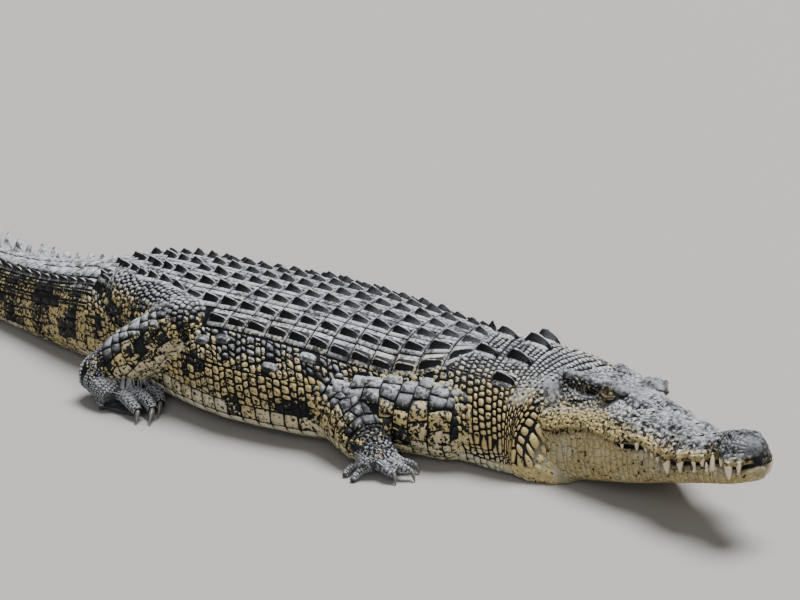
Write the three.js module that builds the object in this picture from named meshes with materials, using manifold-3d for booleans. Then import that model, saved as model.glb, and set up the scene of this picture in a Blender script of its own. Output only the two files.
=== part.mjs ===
// A saltwater crocodile lying on its belly, as a life-size solid model in millimetres.
// +X runs forward along the trunk, +Y is the animal's left, +Z is up, and the floor is z = 0.
// Distances "from the snout" are measured along the animal's midline, bends included.
import * as THREE from "three";
import { mergeVertices } from "three/addons/utils/BufferGeometryUtils.js";
import Module from "manifold-3d";

// ---------- driving dimensions ----------
const TOTAL_LENGTH = 3070; // snout tip to tail tip along the bends
const SKULL = 445; // snout tip to the back of the skull table
const SHOULDER_AT = 730; // where the foreleg's joint sits, from the snout
const HIP_AT = 1371;
const VENT_AT = 1520;
const TAIL_END = TOTAL_LENGTH - 12;
const PART_GAP = 0.4; // the thin cut between neighbouring pieces

// ---------- small helpers ----------
const wasm = await Module();
wasm.setup();
const rad = THREE.MathUtils.degToRad;
const lerp = THREE.MathUtils.lerp;
const clamp = THREE.MathUtils.clamp;
const vec = (x, y, z) => new THREE.Vector3(x, y, z);
const signedPower = (v, p) => Math.sign(v) * Math.abs(v) ** p;

/** A smooth curve through [x, value] pairs: monotone cubic, so it never overshoots. */
function profile(pairs) {
  const n = pairs.length;
  const slopes = [];
  for (let i = 0; i + 1 < n; i++)
    slopes.push((pairs[i + 1][1] - pairs[i][1]) / (pairs[i + 1][0] - pairs[i][0]));
  const tangents = pairs.map((_, i) => {
    if (i === 0) return slopes[0];
    if (i === n - 1) return slopes[n - 2];
    const [a, b] = [slopes[i - 1], slopes[i]];
    return a * b <= 0 ? 0 : (2 * a * b) / (a + b);
  });
  return (x) => {
    if (x <= pairs[0][0]) return pairs[0][1];
    if (x >= pairs[n - 1][0]) return pairs[n - 1][1];
    let i = 0;
    while (x > pairs[i + 1][0]) i++;
    const h = pairs[i + 1][0] - pairs[i][0];
    const t = (x - pairs[i][0]) / h;
    return (
      pairs[i][1] * (1 + 2 * t) * (1 - t) ** 2 +
      tangents[i] * h * t * (1 - t) ** 2 +
      pairs[i + 1][1] * t * t * (3 - 2 * t) +
      tangents[i + 1] * h * t * t * (t - 1)
    );
  };
}

/** A closed geometry from rings of equal point count, closed by a fan at both ends. */
function loft(rings, firstPole = null, lastPole = null) {
  const count = rings[0].length;
  const points = rings.flat();
  const index = [];
  for (let r = 0; r + 1 < rings.length; r++)
    for (let k = 0; k < count; k++) {
      const a = r * count + k;
      const b = r * count + ((k + 1) % count);
      index.push(a, b, a + count, b, b + count, a + count);
    }
  const cap = (ring, start, flip, pole) => {
    const centre = pole ?? ring.reduce((sum, p) => sum.addScaledVector(p, 1 / count), vec(0, 0, 0));
    points.push(centre);
    const c = points.length - 1;
    for (let k = 0; k < count; k++) {
      const a = start + k;
      const b = start + ((k + 1) % count);
      index.push(...(flip ? [c, b, a] : [c, a, b]));
    }
  };
  cap(rings[0], 0, true, firstPole);
  cap(rings[rings.length - 1], (rings.length - 1) * count, false, lastPole);
  const geometry = new THREE.BufferGeometry().setFromPoints(points);
  geometry.setIndex(index);
  return geometry;
}

/** A geometry as a manifold solid, turned right side out. */
function solid(geometry) {
  const bare = geometry.clone();
  bare.deleteAttribute("normal");
  bare.deleteAttribute("uv");
  const merged = mergeVertices(bare, 1e-3);
  const triVerts = new Uint32Array(merged.index.array);
  const build = () =>
    new wasm.Manifold(
      new wasm.Mesh({ numProp: 3, vertProperties: merged.attributes.position.array, triVerts }),
    );
  let made = build();
  if (made.volume() < 0) {
    for (let i = 0; i < triVerts.length; i += 3)
      [triVerts[i], triVerts[i + 1]] = [triVerts[i + 1], triVerts[i]];
    made = build();
  }
  return made;
}

const union = (list) => list.reduce((sum, piece) => sum.add(piece));

/** A ball stretched to three radii, turned by an optional matrix. */
function ball(centre, radii, matrix = null) {
  const geometry = new THREE.SphereGeometry(1, 8, 6);
  geometry.scale(radii.x, radii.y, radii.z);
  if (matrix) geometry.applyMatrix4(new THREE.Matrix4().extractRotation(matrix));
  geometry.translate(centre.x, centre.y, centre.z);
  return solid(geometry);
}

/** What lies on the side of a plane that its normal points to, beginning gap past the plane. */
function beyond(made, point, normal, gap = PART_GAP / 2) {
  const n = normal.clone().normalize();
  return made.trimByPlane([n.x, n.y, n.z], n.dot(point) + gap);
}

const SLIVER = 0.15; // detail finer than this is dropped from a finished piece

/** The largest single body of a solid: what is left of a piece once its crumbs and slivers are gone. */
function largest(made) {
  const biggest = made.decompose().sort((a, b) => b.volume() - a.volume())[0];
  return biggest.simplify(SLIVER);
}

/** A round or oval tube along points with a domed end; radii lists [sideways, upright] at each point. */
function tube(points, radii, sides = 10, perSpan = 4) {
  const curve = new THREE.CatmullRomCurve3(points, false, "centripetal");
  const last = points.length - 1;
  const wide = profile(radii.map((r, i) => [i, r[0]]));
  const tall = profile(radii.map((r, i) => [i, r[1]]));
  const ringAt = (u, grow, shift) => {
    const t = u / last;
    const tangent = curve.getTangent(t);
    const side = vec(0, 0, 1).cross(tangent).normalize();
    const up = tangent.clone().cross(side);
    const centre = curve.getPoint(t).addScaledVector(tangent, shift);
    return Array.from({ length: sides }, (_, k) => {
      const turn = (2 * Math.PI * k) / sides;
      return centre
        .clone()
        .addScaledVector(side, wide(u) * grow * Math.sin(turn))
        .addScaledVector(up, tall(u) * grow * Math.cos(turn));
    });
  };
  const endRadius = Math.min(...radii[last]);
  const rings = [];
  for (let i = 0; i <= last * perSpan; i++) rings.push(ringAt(i / perSpan, 1, 0));
  rings.push(ringAt(last, 0.7, 0.6 * endRadius));
  const tip = curve.getPoint(1).addScaledVector(curve.getTangent(1), 0.85 * endRadius);
  return solid(loft(rings, null, tip));
}

const FLOOR_BLOCK = solid(new THREE.BoxGeometry(8000, 8000, 900).translate(0, 0, -450));

// ---------- the spine's line over the floor ----------
// Heading of the midline, in degrees from +X, at distances from the snout. The head looks to the animal's
// right, the trunk is nearly straight, and the tail swings out to the left and then back.
const HEADINGS = profile([
  [SKULL, -24],
  [500, -5],
  [570, 8],
  [650, 7],
  [SHOULDER_AT, 3],
  [890, 4],
  [1100, -1],
  [HIP_AT - 100, -5],
  [VENT_AT, -8],
  [1700, -10],
  [1900, -20],
  [2200, -34],
  [2500, -30],
  [2800, -14],
  [TOTAL_LENGTH, 2],
]);
const SPINE_STEP = 10;
const SPINE_ANCHOR = new THREE.Vector2(-730, 188); // the midline's place at the shoulder

/** The midline's points every SPINE_STEP from the snout, walked both ways from the shoulder. */
function walkSpine() {
  const count = Math.ceil(TOTAL_LENGTH / SPINE_STEP) + 1;
  const points = Array(count);
  const start = SHOULDER_AT / SPINE_STEP;
  const stride = (s) => {
    const heading = rad(HEADINGS(s));
    return new THREE.Vector2(Math.cos(heading), Math.sin(heading)).multiplyScalar(SPINE_STEP);
  };
  points[start] = SPINE_ANCHOR.clone();
  for (let i = start + 1; i < count; i++) {
    points[i] = points[i - 1].clone().sub(stride((i - 0.5) * SPINE_STEP));
  }
  for (let i = start - 1; i >= 0; i--) {
    points[i] = points[i + 1].clone().add(stride((i + 0.5) * SPINE_STEP));
  }
  return points;
}
const spine = walkSpine();

/** The midline's place, sideways and forward directions at a distance from the snout. */
function midline(s) {
  const i = clamp(Math.floor(s / SPINE_STEP), 0, spine.length - 2);
  const t = s / SPINE_STEP - i;
  const heading = rad(HEADINGS(s));
  return {
    at: new THREE.Vector2().lerpVectors(spine[i], spine[i + 1], t),
    left: new THREE.Vector2(-Math.sin(heading), Math.cos(heading)),
    forward: new THREE.Vector2(Math.cos(heading), Math.sin(heading)),
  };
}

// ---------- neck, trunk and tail as one long tube ----------
const HALF_WIDTH = profile([
  [370, 84],
  [415, 134],
  [450, 156],
  [500, 160],
  [560, 158],
  [640, 150],
  [700, 151],
  [760, 163],
  [840, 186],
  [930, 205],
  [1040, 208],
  [1120, 196],
  [1200, 173],
  [1290, 148],
  [HIP_AT, 128],
  [VENT_AT, 104],
  [1620, 88],
  [1735, 72],
  [1900, 60],
  [2295, 38],
  [2760, 19],
  [TAIL_END, 5],
]);
const BACK_HEIGHT = profile([
  [370, 22],
  [415, 62],
  [450, 132],
  [500, 165],
  [590, 180],
  [775, 203],
  [1025, 222],
  [1270, 227],
  [HIP_AT, 216],
  [1460, 192],
  [1590, 157],
  [1735, 134],
  [1900, 120],
  [2295, 96],
  [2760, 54],
  [TAIL_END, 14],
]);
// Height of the widest level, as a share of the back's height: the flanks of the trunk sag low.
const WIDEST_LEVEL = profile([
  [370, 0.5],
  [480, 0.42],
  [900, 0.34],
  [1270, 0.34],
  [1580, 0.44],
  [TOTAL_LENGTH, 0.5],
]);
const TOP_SQUARE = profile([
  [400, 0.78],
  [1025, 0.86],
  [1520, 0.8],
  [2140, 0.72],
  [TOTAL_LENGTH, 0.9],
]);
// How the underside rounds into the floor: a small power gives the broad flat throat and neck.
const UNDER_SQUARE = profile([
  [560, 0.22],
  [760, 0.46],
  [1500, 0.6],
]);

// The underside would bulge this far below the floor; it lies flattened on it instead.
const BELLY_PRESS = 6;

/** A point of the body's surface. turn is 0 on the back, pi under the belly and positive to the left. */
function bodyPoint(s, turn, swell = 0) {
  const { at, left } = midline(s);
  const height = BACK_HEIGHT(s);
  const level = WIDEST_LEVEL(s) * height;
  const across = (HALF_WIDTH(s) + swell) * signedPower(Math.sin(turn), TOP_SQUARE(s));
  const lift = Math.cos(turn);
  const above = level + (height + swell - level) * Math.max(lift, 0) ** 0.92;
  const below = level + (level + BELLY_PRESS + swell) * signedPower(lift, UNDER_SQUARE(s));
  return vec(at.x + left.x * across, at.y + left.y * across, Math.max(lift > 0 ? above : below, -swell));
}

const BODY_SIDES = 16;
const BODY_FROM = 372;

function bodyTube(swell = 0) {
  const stations = [];
  for (let s = BODY_FROM; s < SKULL + 60; s += 30) stations.push(s);
  for (let s = SKULL + 80; s < VENT_AT; s += 76) stations.push(s);
  for (let s = VENT_AT + 10; s < TAIL_END - 40; s += 110) stations.push(s);
  stations.push(TAIL_END);
  const turns = Array.from({ length: BODY_SIDES }, (_, k) => (2 * Math.PI * k) / BODY_SIDES);
  return solid(loft(stations.map((s) => turns.map((turn) => bodyPoint(s, turn, swell)))));
}

// ---------- crests of the tail ----------
const CREST_FROM = 1450;
const CREST_JOIN = 2230; // where the two side crests close into one
const CREST_END = TAIL_END - 16;
const CREST_ROOT = 7; // how far a crest's foot is sunk in the tail
const WHORL = profile([
  [CREST_FROM, 29],
  [1600, 32],
  [1800, 40],
  [CREST_JOIN, 50],
  [TOTAL_LENGTH, 38],
]);
const CREST_HEIGHT = profile([
  [CREST_FROM, 12],
  [1620, 17],
  [1740, 22],
  [1900, 34],
  [CREST_JOIN, 52],
  [2700, 44],
  [TOTAL_LENGTH, 12],
]);
const CREST_TURN = profile([
  [CREST_FROM, 0.72],
  [1740, 0.55],
  [CREST_JOIN, 0.14],
]);

/** Three corners of a crest's section at a station: its sunk foot, then its edge. */
function crestSection(s, turn, height, halfFoot) {
  const { left } = midline(s);
  const foot = bodyPoint(s, turn);
  const sideways = vec(left.x, left.y, 0);
  const out = vec(0, 0, 1).addScaledVector(sideways, 0.3 * Math.sin(turn)).normalize();
  const corner = (across, rise) => foot.clone().addScaledVector(sideways, across).addScaledVector(out, rise);
  return [corner(-halfFoot, -CREST_ROOT), corner(halfFoot, -CREST_ROOT), corner(0, height)];
}

/** A saw-toothed ribbon of blades that lean back, each dropping from its peak to the next one's foot. */
function crest(from, to, side) {
  const rings = [];
  for (let s = from; s < to; s += WHORL(s)) {
    const height = CREST_HEIGHT(s);
    const turn = side * CREST_TURN(s);
    const peak = s + 0.8 * WHORL(s);
    rings.push(crestSection(s, turn, 0.12 * height, 6));
    rings.push(crestSection(peak, side * CREST_TURN(peak), height, 5));
  }
  return solid(loft(rings));
}

function tailCrests() {
  return [
    crest(CREST_FROM, CREST_JOIN + 20, -1),
    crest(CREST_FROM, CREST_JOIN + 20, 1),
    crest(CREST_JOIN + 12, CREST_END, 0),
  ];
}

// ---------- nuchal shield: the big scutes behind the skull ----------
/** A keeled scute: a low oval mound with its ridge along the body. */
function nuchalScute(s, turn, length, width, height) {
  const { left } = midline(s);
  const sideways = vec(left.x, left.y, 0);
  const ring = (along, wide, rise) => {
    const foot = bodyPoint(s + along * length, turn);
    const corner = (across, up) => foot.clone().addScaledVector(sideways, across * width).add(vec(0, 0, up));
    return [corner(-wide, -CREST_ROOT), corner(wide, -CREST_ROOT), corner(0, rise)];
  };
  const [foot, rise] = [ring(-0.5, 0.3, 1), ring(0.1, 0.5, height * 0.8)];
  const [peak, fall] = [ring(0.36, 0.42, height), ring(0.52, 0.3, 2)];
  return solid(loft([foot, rise, peak, fall]));
}

const NUCHAL_SHIELD = [
  { s: 566, turn: 0.2, length: 54, width: 44, height: 20 },
  { s: 570, turn: 0.62, length: 50, width: 40, height: 22 },
  { s: 624, turn: 0.24, length: 46, width: 38, height: 17 },
];

function nuchalScutes() {
  return NUCHAL_SHIELD.flatMap(({ s, turn, length, width, height }) =>
    [-1, 1].map((side) => nuchalScute(s, side * turn, length, width, height)),
  );
}

// ---------- head ----------
// Head sizes are shares of the skull's length: x runs forward from the back of the skull table, y to the
// animal's left and z up from the underside of the jaw.
const HEAD_PLACE = vec(-445, 206, -3);
const HEAD_TURN = new THREE.Euler(rad(-7), rad(-14.5), rad(-25), "ZYX");
const HEAD_MATRIX = new THREE.Matrix4().makeRotationFromEuler(HEAD_TURN).setPosition(HEAD_PLACE);
const headPoint = (x, y, z) => vec(x * SKULL, y * SKULL, z * SKULL).applyMatrix4(HEAD_MATRIX);
const headSize = (x, y, z) => vec(x * SKULL, y * SKULL, z * SKULL);
const HEAD_BACK = -0.1;

const SNOUT_TOP = profile([
  [HEAD_BACK, 0.3],
  [-0.04, 0.328],
  [0.02, 0.342],
  [0.12, 0.34],
  [0.22, 0.322],
  [0.3, 0.302],
  [0.38, 0.276],
  [0.46, 0.246],
  [0.53, 0.224],
  [0.6, 0.206],
  [0.67, 0.188],
  [0.74, 0.172],
  [0.79, 0.168],
  [0.84, 0.18],
  [0.88, 0.192],
  [0.93, 0.19],
  [0.97, 0.178],
  [1, 0.155],
  [1.015, 0.13],
]);
const TABLE_HALF = profile([
  [HEAD_BACK, 0.125],
  [0.02, 0.138],
  [0.2, 0.112],
  [0.3, 0.092],
  [0.45, 0.085],
  [0.6, 0.075],
  [0.76, 0.07],
  [0.85, 0.05],
  [0.92, 0.062],
  [0.97, 0.05],
  [1, 0.032],
  [1.015, 0.02],
]);
const LIP_HALF = profile([
  [HEAD_BACK, 0.275],
  [0, 0.288],
  [0.08, 0.28],
  [0.2, 0.252],
  [0.3, 0.228],
  [0.4, 0.204],
  [0.47, 0.192],
  [0.53, 0.166],
  [0.6, 0.147],
  [0.66, 0.152],
  [0.72, 0.156],
  [0.78, 0.134],
  [0.825, 0.1],
  [0.853, 0.072],
  [0.885, 0.094],
  [0.93, 0.104],
  [0.955, 0.1],
  [0.98, 0.078],
  [1, 0.055],
  [1.015, 0.034],
]);
const MOUTH_LINE = profile([
  [HEAD_BACK, 0.15],
  [0.05, 0.155],
  [0.14, 0.146],
  [0.22, 0.154],
  [0.29, 0.158],
  [0.33, 0.15],
  [0.39, 0.128],
  [0.43, 0.112],
  [0.48, 0.106],
  [0.54, 0.11],
  [0.58, 0.09],
  [0.62, 0.068],
  [0.67, 0.059],
  [0.72, 0.064],
  [0.78, 0.07],
  [0.84, 0.077],
  [0.87, 0.08],
  [0.92, 0.07],
  [0.95, 0.066],
  [0.99, 0.073],
  [1.015, 0.082],
]);
const JAW_HALF = profile([
  [HEAD_BACK, 0.27],
  [0, 0.28],
  [0.1, 0.266],
  [0.2, 0.238],
  [0.3, 0.205],
  [0.4, 0.176],
  [0.5, 0.146],
  [0.6, 0.122],
  [0.72, 0.112],
  [0.8, 0.098],
  [0.86, 0.094],
  [0.9, 0.083],
  [0.95, 0.07],
  [0.98, 0.054],
  [1, 0.038],
  [1.012, 0.022],
]);
const JAW_BOTTOM = profile([
  [HEAD_BACK, -0.03],
  [0.2, -0.045],
  [0.4, -0.04],
  [0.6, -0.022],
  [0.8, -0.006],
  [0.9, 0],
  [0.96, 0.012],
  [1, 0.032],
  [1.012, 0.045],
]);
// The jaws part a little towards the front, where the teeth show between them.
const MOUTH_GAPE = profile([
  [0.36, PART_GAP / SKULL],
  [0.44, 0.012],
  [0.5, 0.02],
  [0.6, 0.034],
  [0.7, 0.034],
  [0.78, 0.036],
  [0.88, 0.03],
  [0.95, 0.022],
  [1.01, 0.012],
]);
const HEAD_STATIONS = [
  ...[HEAD_BACK, 0, 0.1, 0.2, 0.29, 0.37, 0.44, 0.5, 0.56, 0.62, 0.68, 0.735],
  ...[0.79, 0.825, 0.853, 0.885, 0.92, 0.95, 0.978, 0.995, 1.01],
];

/** Mirrors one half of a section, listed from the top centre down, into a full ring grown by swell. */
function headRing(x, centreTop, half, centreBottom, swell) {
  const mirrored = half.toReversed().map(([y, z]) => [-y, z]);
  const ring = [[0, centreTop], ...half, [0, centreBottom], ...mirrored];
  const before = (i) => ring[(i + ring.length - 1) % ring.length];
  const after = (i) => ring[(i + 1) % ring.length];
  return ring.map(([y, z], i) => {
    const across = after(i)[0] - before(i)[0];
    const rise = after(i)[1] - before(i)[1];
    const grow = swell / SKULL / Math.hypot(across, rise);
    return headPoint(x, y - rise * grow, z + across * grow);
  });
}

function upperRing(x, swell = 0) {
  const [top, table, lip] = [SNOUT_TOP(x), TABLE_HALF(x), LIP_HALF(x)];
  const low = MOUTH_LINE(x) + MOUTH_GAPE(x) / 2;
  const skullShare = clamp((0.36 - x) / 0.14, 0, 1); // 1 over the braincase, 0 along the snout
  const shoulder = lerp(0.5, 0.28, skullShare);
  const drop = lerp(0.3, 0.5, skullShare);
  const half = [
    [table * 0.6, top + 0.004],
    [table, top - 0.008],
    [lerp(table, lip, shoulder), lerp(top, low, drop)],
    [lerp(table, lip, 0.86), lerp(top, low, lerp(0.62, 0.7, skullShare))],
    [lip, lerp(top, low, 0.84)],
    [lip - 0.006, low],
  ];
  return headRing(x, top - 0.004, half, low, swell);
}

function lowerRing(x, swell = 0) {
  const [jaw, bottom] = [JAW_HALF(x), JAW_BOTTOM(x)];
  const high = MOUTH_LINE(x) - MOUTH_GAPE(x) / 2;
  const half = [
    [jaw - 0.006, high],
    [jaw, lerp(high, bottom, 0.25)],
    [jaw * 0.985, lerp(high, bottom, 0.62)],
    [jaw * 0.86, lerp(high, bottom, 0.92)],
    [jaw * 0.5, bottom],
  ];
  return headRing(x, high, half, bottom, swell);
}

// Teeth as [place along the head, length], both shares of the skull, for one side.
const UPPER_TEETH = [
  [0.976, 0.03],
  [0.944, 0.053],
  [0.908, 0.02],
  [0.812, 0.033],
  [0.788, 0.032],
  [0.741, 0.046],
  [0.662, 0.054],
  [0.608, 0.03],
  [0.58, 0.036],
  [0.551, 0.028],
  [0.519, 0.024],
  [0.46, 0.014],
];
const LOWER_TEETH = [
  [0.958, 0.012],
  [0.853, 0.053],
  [0.825, 0.022],
  [0.765, 0.024],
  [0.7, 0.022],
  [0.535, 0.014],
];
// A tooth's radius at the gum: a floor, plus a share of its length.
const UPPER_STOUTNESS = 0.25;
const LOWER_STOUTNESS = 0.08;
const THINNEST_TOOTH = 0.0045;

/** A curved conical tooth from a point on the gum; rise is -1 for the upper row and 1 for the lower. */
function tooth(x, y, root, length, rise) {
  const radius = THINNEST_TOOTH + (rise < 0 ? UPPER_STOUTNESS : LOWER_STOUTNESS) * length;
  const ring = (share, level, lean) =>
    Array.from({ length: 4 }, (_, k) => {
      const turn = (Math.PI * k) / 2;
      const reach = radius * share;
      return headPoint(x + reach * Math.sin(turn), y + lean + reach * Math.cos(turn), root + rise * level);
    });
  const lean = -Math.sign(y) * 0.003;
  const tip = headPoint(x, y + lean, root + rise * length);
  return solid(loft([ring(1, -0.012, 0), ring(0.8, 0.45 * length, lean / 2)], null, tip));
}

function toothRow(list, halfWidth, inset, level, rise) {
  return list.flatMap(([x, length]) =>
    [-1, 1].map((side) => tooth(x, side * (halfWidth(x) - inset), level(x), length, rise)),
  );
}

const EYE_RADIUS = 15;
const EYE_AT = { x: 0.308, y: 0.116, z: 0.289 };
const EYE_SOCKET = 0.5; // room between the eyeball and the socket

const EYE_KNOB = { x: 0.288, y: 0.09, z: 0.286, size: [0.078, 0.044, 0.054] };
const eyePoint = (side) => headPoint(EYE_AT.x, side * EYE_AT.y, EYE_AT.z);

function makeHead() {
  const upperGum = (x) => MOUTH_LINE(x) + MOUTH_GAPE(x) / 2;
  const lowerGum = (x) => MOUTH_LINE(x) - MOUTH_GAPE(x) / 2;
  const knob = (side) =>
    ball(headPoint(EYE_KNOB.x, side * EYE_KNOB.y, EYE_KNOB.z), headSize(...EYE_KNOB.size), HEAD_MATRIX);
  const socket = (side) => ball(eyePoint(side), vec(1, 1, 1).multiplyScalar(EYE_RADIUS + EYE_SOCKET));
  const ringed = (ring, stations, swell, tip) => solid(loft(stations.map((x) => ring(x, swell)), null, tip));
  const skull = ringed(upperRing, HEAD_STATIONS, 0, headPoint(1.022, 0, 0.11));
  const mandible = ringed(lowerRing, HEAD_STATIONS, 0, headPoint(1.018, 0, 0.062));
  const upperTeeth = toothRow(UPPER_TEETH, LIP_HALF, 0.007, upperGum, -1);
  const lowerTeeth = toothRow(LOWER_TEETH, JAW_HALF, 0.005, lowerGum, 1);
  const backStations = [HEAD_BACK - PART_GAP / SKULL, ...HEAD_STATIONS.filter((x) => x < 0.5)];
  const backOf = (ring) => ringed(ring, backStations, 1.5 * PART_GAP);
  return {
    head: largest(union([skull, knob(-1), knob(1), ...upperTeeth]).subtract(union([socket(-1), socket(1)]))),
    jaw: largest(union([mandible, ...lowerTeeth]).subtract(FLOOR_BLOCK)),
    room: backOf(upperRing).add(backOf(lowerRing)),
  };
}

// ---------- legs ----------
const FOOT_PRESS = 1.2; // how far the toes and claws are pressed flat where they touch the floor

/** A point given forward, outward and up from the midline at a station; side is 1 left, -1 right. */
function legPoint(station, side, [forward, out, up]) {
  const { at, left, forward: ahead } = midline(station);
  return vec(
    at.x + ahead.x * forward + left.x * side * out,
    at.y + ahead.y * forward + left.y * side * out,
    up - FOOT_PRESS,
  );
}

/** A claw: a curved horn from the toe's end to its tip. */
function claw(from, to, radius) {
  const middle = from.clone().lerp(to, 0.5).add(vec(0, 0, 0.28 * from.distanceTo(to)));
  const curve = new THREE.QuadraticBezierCurve3(from, middle, to);
  const ring = (t, grow) => {
    const tangent = curve.getTangent(t);
    const side = vec(0, 0, 1).cross(tangent).normalize();
    const up = tangent.clone().cross(side);
    return Array.from({ length: 5 }, (_, k) => {
      const turn = (2 * Math.PI * k) / 5;
      return curve
        .getPoint(t)
        .addScaledVector(side, 0.75 * radius * grow * Math.sin(turn))
        .addScaledVector(up, radius * grow * Math.cos(turn));
    });
  };
  return solid(loft([ring(0, 1), ring(0.4, 0.8), ring(0.75, 0.45)], null, to));
}

const CLAW_GAP = 0.6; // between a toe's end and its claw

/** One toe from the palm over its knuckle, and the claw that follows it where it has a tip. */
function makeToe(palm, root, knuckle, end, tip, radius) {
  const radii = [[1.15, 1], [1, 0.95], [0.8, 0.78]].map((pair) => pair.map((share) => share * radius));
  const toe = tube([palm.clone().lerp(root, 0.5), knuckle, end], radii, 5, 1);
  if (!tip) return { toe };
  const onward = tip.clone().sub(end).normalize();
  return {
    toe: beyond(toe, end, onward.clone().negate(), CLAW_GAP),
    horn: beyond(claw(end, tip, 0.5 * radius), end, onward, 0),
  };
}

/** One leg: its two lengths, its foot and its claws, from joints given in the leg's own directions. */
function makeLeg(station, side, joints, sizes, digits, web) {
  const at = (p) => legPoint(station, side, p);
  const [root, bend, wrist, palm] = [at(joints.root), at(joints.bend), at(joints.wrist), at(joints.palm)];
  const length = (from, to, radii, sides, perSpan) =>
    tube([from, from.clone().lerp(to, 0.5), to], radii, sides, perSpan);
  const bendBall = ball(bend, vec(...sizes.bend));
  const towards = (from, to) => to.clone().sub(from).normalize();
  const bendPlane = towards(root, bend).add(towards(bend, wrist));
  const wristPlane = towards(bend, wrist).add(towards(wrist, palm));
  const toes = digits.map((d) =>
    makeToe(palm, at(d.root), at(d.knuckle), at(d.end), d.tip ? at(d.tip) : null, d.radius),
  );
  const webs = web ? [webSolid(web.map(at))] : [];
  const upper = beyond(length(root, bend, sizes.upper, 8, 2).add(bendBall), bend, bendPlane.clone().negate());
  const lower = beyond(length(bend, wrist, sizes.lower, 8, 2).add(bendBall), bend, bendPlane);
  const foot = union([length(wrist, palm, sizes.foot, 7, 1), ...toes.map(({ toe }) => toe), ...webs]);
  return {
    upper: upper.subtract(FLOOR_BLOCK),
    lower: beyond(lower, wrist, wristPlane.clone().negate()).subtract(FLOOR_BLOCK),
    foot: beyond(foot, wrist, wristPlane).subtract(FLOOR_BLOCK),
    claws: toes.filter(({ horn }) => horn).map(({ horn }) => horn.subtract(FLOOR_BLOCK)),
  };
}

/** The web of skin between the toes: a thin slab over a fan of points. */
function webSolid(points) {
  const top = points.map((p) => p.clone());
  const base = points.map((p) => p.clone().add(vec(0, 0, -5)));
  return solid(loft([base, top]));
}

const FORE_SIZES = {
  upper: [[52, 68], [54, 64], [46, 60]],
  lower: [[46, 58], [44, 50], [36, 29]],
  bend: [46, 46, 60],
  foot: [[36, 28], [40, 23], [42, 20]],
};
const HIND_SIZES = {
  upper: [[66, 76], [62, 66], [50, 54]],
  lower: [[48, 56], [48, 54], [42, 38]],
  bend: [50, 50, 54],
  foot: [[44, 34], [52, 30], [54, 22]],
};
const FORE_JOINTS = {
  root: [84, 122, 74],
  bend: [-122, 160, 78],
  wrist: [-8, 224, 38],
  palm: [6, 234, 25],
};
const FORE_DIGITS = [
  { root: [20, 209, 26], knuckle: [44, 206, 24], end: [55, 197, 17], tip: [63, 199, 0], radius: 10.5 },
  { root: [22, 228, 26], knuckle: [48, 232, 24], end: [62, 225, 17], tip: [73, 232, 0], radius: 11.5 },
  { root: [6, 237, 25], knuckle: [30, 251, 22], end: [42, 250, 16], tip: [51, 259, 0], radius: 11.5 },
  { root: [-8, 246, 24], knuckle: [-15, 262, 15], end: [-20, 282, 6], radius: 10 },
  { root: [-26, 232, 24], knuckle: [-37, 252, 15], end: [-42, 271, 6], radius: 9.5 },
];
const HIND_JOINTS = {
  root: [0, 50, 140],
  bend: [208, 134, 160],
  wrist: [48, 204, 50],
  palm: [108, 202, 32],
};
// The far hind leg lies lower and looser than the near one.
const FAR_HIND_JOINTS = { ...HIND_JOINTS, root: [0, 50, 120], bend: [196, 142, 92], wrist: [58, 210, 46] };
const HIND_DIGITS = [
  { root: [128, 162, 38], knuckle: [160, 168, 28], end: [188, 186, 19], tip: [208, 214, 0], radius: 13.5 },
  { root: [130, 192, 38], knuckle: [174, 208, 29], end: [202, 220, 20], tip: [219, 248, 0], radius: 15 },
  { root: [118, 224, 36], knuckle: [156, 232, 28], end: [184, 239, 19], tip: [196, 258, 0], radius: 14 },
  { root: [64, 232, 30], knuckle: [84, 236, 22], end: [96, 246, 7], radius: 10.5 },
];
const HIND_WEB = [
  [96, 172, 16],
  [166, 174, 12],
  [180, 214, 11],
  [160, 240, 11],
  [90, 246, 9],
  [66, 232, 12],
];

// ---------- assembly ----------
const animal = new THREE.Group();
const paint = (color, roughness) => new THREE.MeshStandardMaterial({ color, roughness, metalness: 0 });
const HIDE = paint(0x6f6b58, 0.6);
const PALE_HIDE = paint(0xa8986a, 0.6);
const EYE = paint(0x5d5a30, 0.15);
const HORN = paint(0x77756c, 0.4);

/** Adds a solid to the animal as a named mesh of its own. */
function addNode(name, made, material) {
  const { vertProperties, triVerts, numProp } = made.getMesh();
  const count = vertProperties.length / numProp;
  const positions = new Float32Array(count * 3);
  for (let i = 0; i < count; i++) positions.set(vertProperties.subarray(i * numProp, i * numProp + 3), i * 3);
  const geometry = new THREE.BufferGeometry();
  geometry.setAttribute("position", new THREE.BufferAttribute(positions, 3));
  geometry.setIndex(new THREE.BufferAttribute(new Uint32Array(triVerts), 1));
  const mesh = new THREE.Mesh(geometry, material);
  mesh.name = name;
  animal.add(mesh);
}

/** The body between two stations, parted by planes square to the midline. */
function bodyLength(body, from, to) {
  const part = (made, s, sign) => {
    const { at, forward } = midline(s);
    return beyond(made, vec(at.x, at.y, 0), vec(forward.x * sign, forward.y * sign, 0));
  };
  const behind = from > BODY_FROM ? part(body, from, -1) : body;
  return to < TOTAL_LENGTH ? part(behind, to, 1) : behind;
}

const BODY_LENGTHS = [
  ["neck", BODY_FROM, 650],
  ["trunk", 650, 1480],
  ["tail_1", 1480, 1880],
  ["tail_2", 1880, 2290],
  ["tail_3", 2290, 2690],
  ["tail_4", 2690, TOTAL_LENGTH],
];
const { head, jaw, room: headRoom } = makeHead();
const body = union([bodyTube(), ...tailCrests(), ...nuchalScutes()]).subtract(headRoom).subtract(FLOOR_BLOCK);
for (const [name, from, to] of BODY_LENGTHS) addNode(name, largest(bodyLength(body, from, to)), HIDE);
addNode("head", head, HIDE);
addNode("jaw", jaw, PALE_HIDE);

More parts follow.
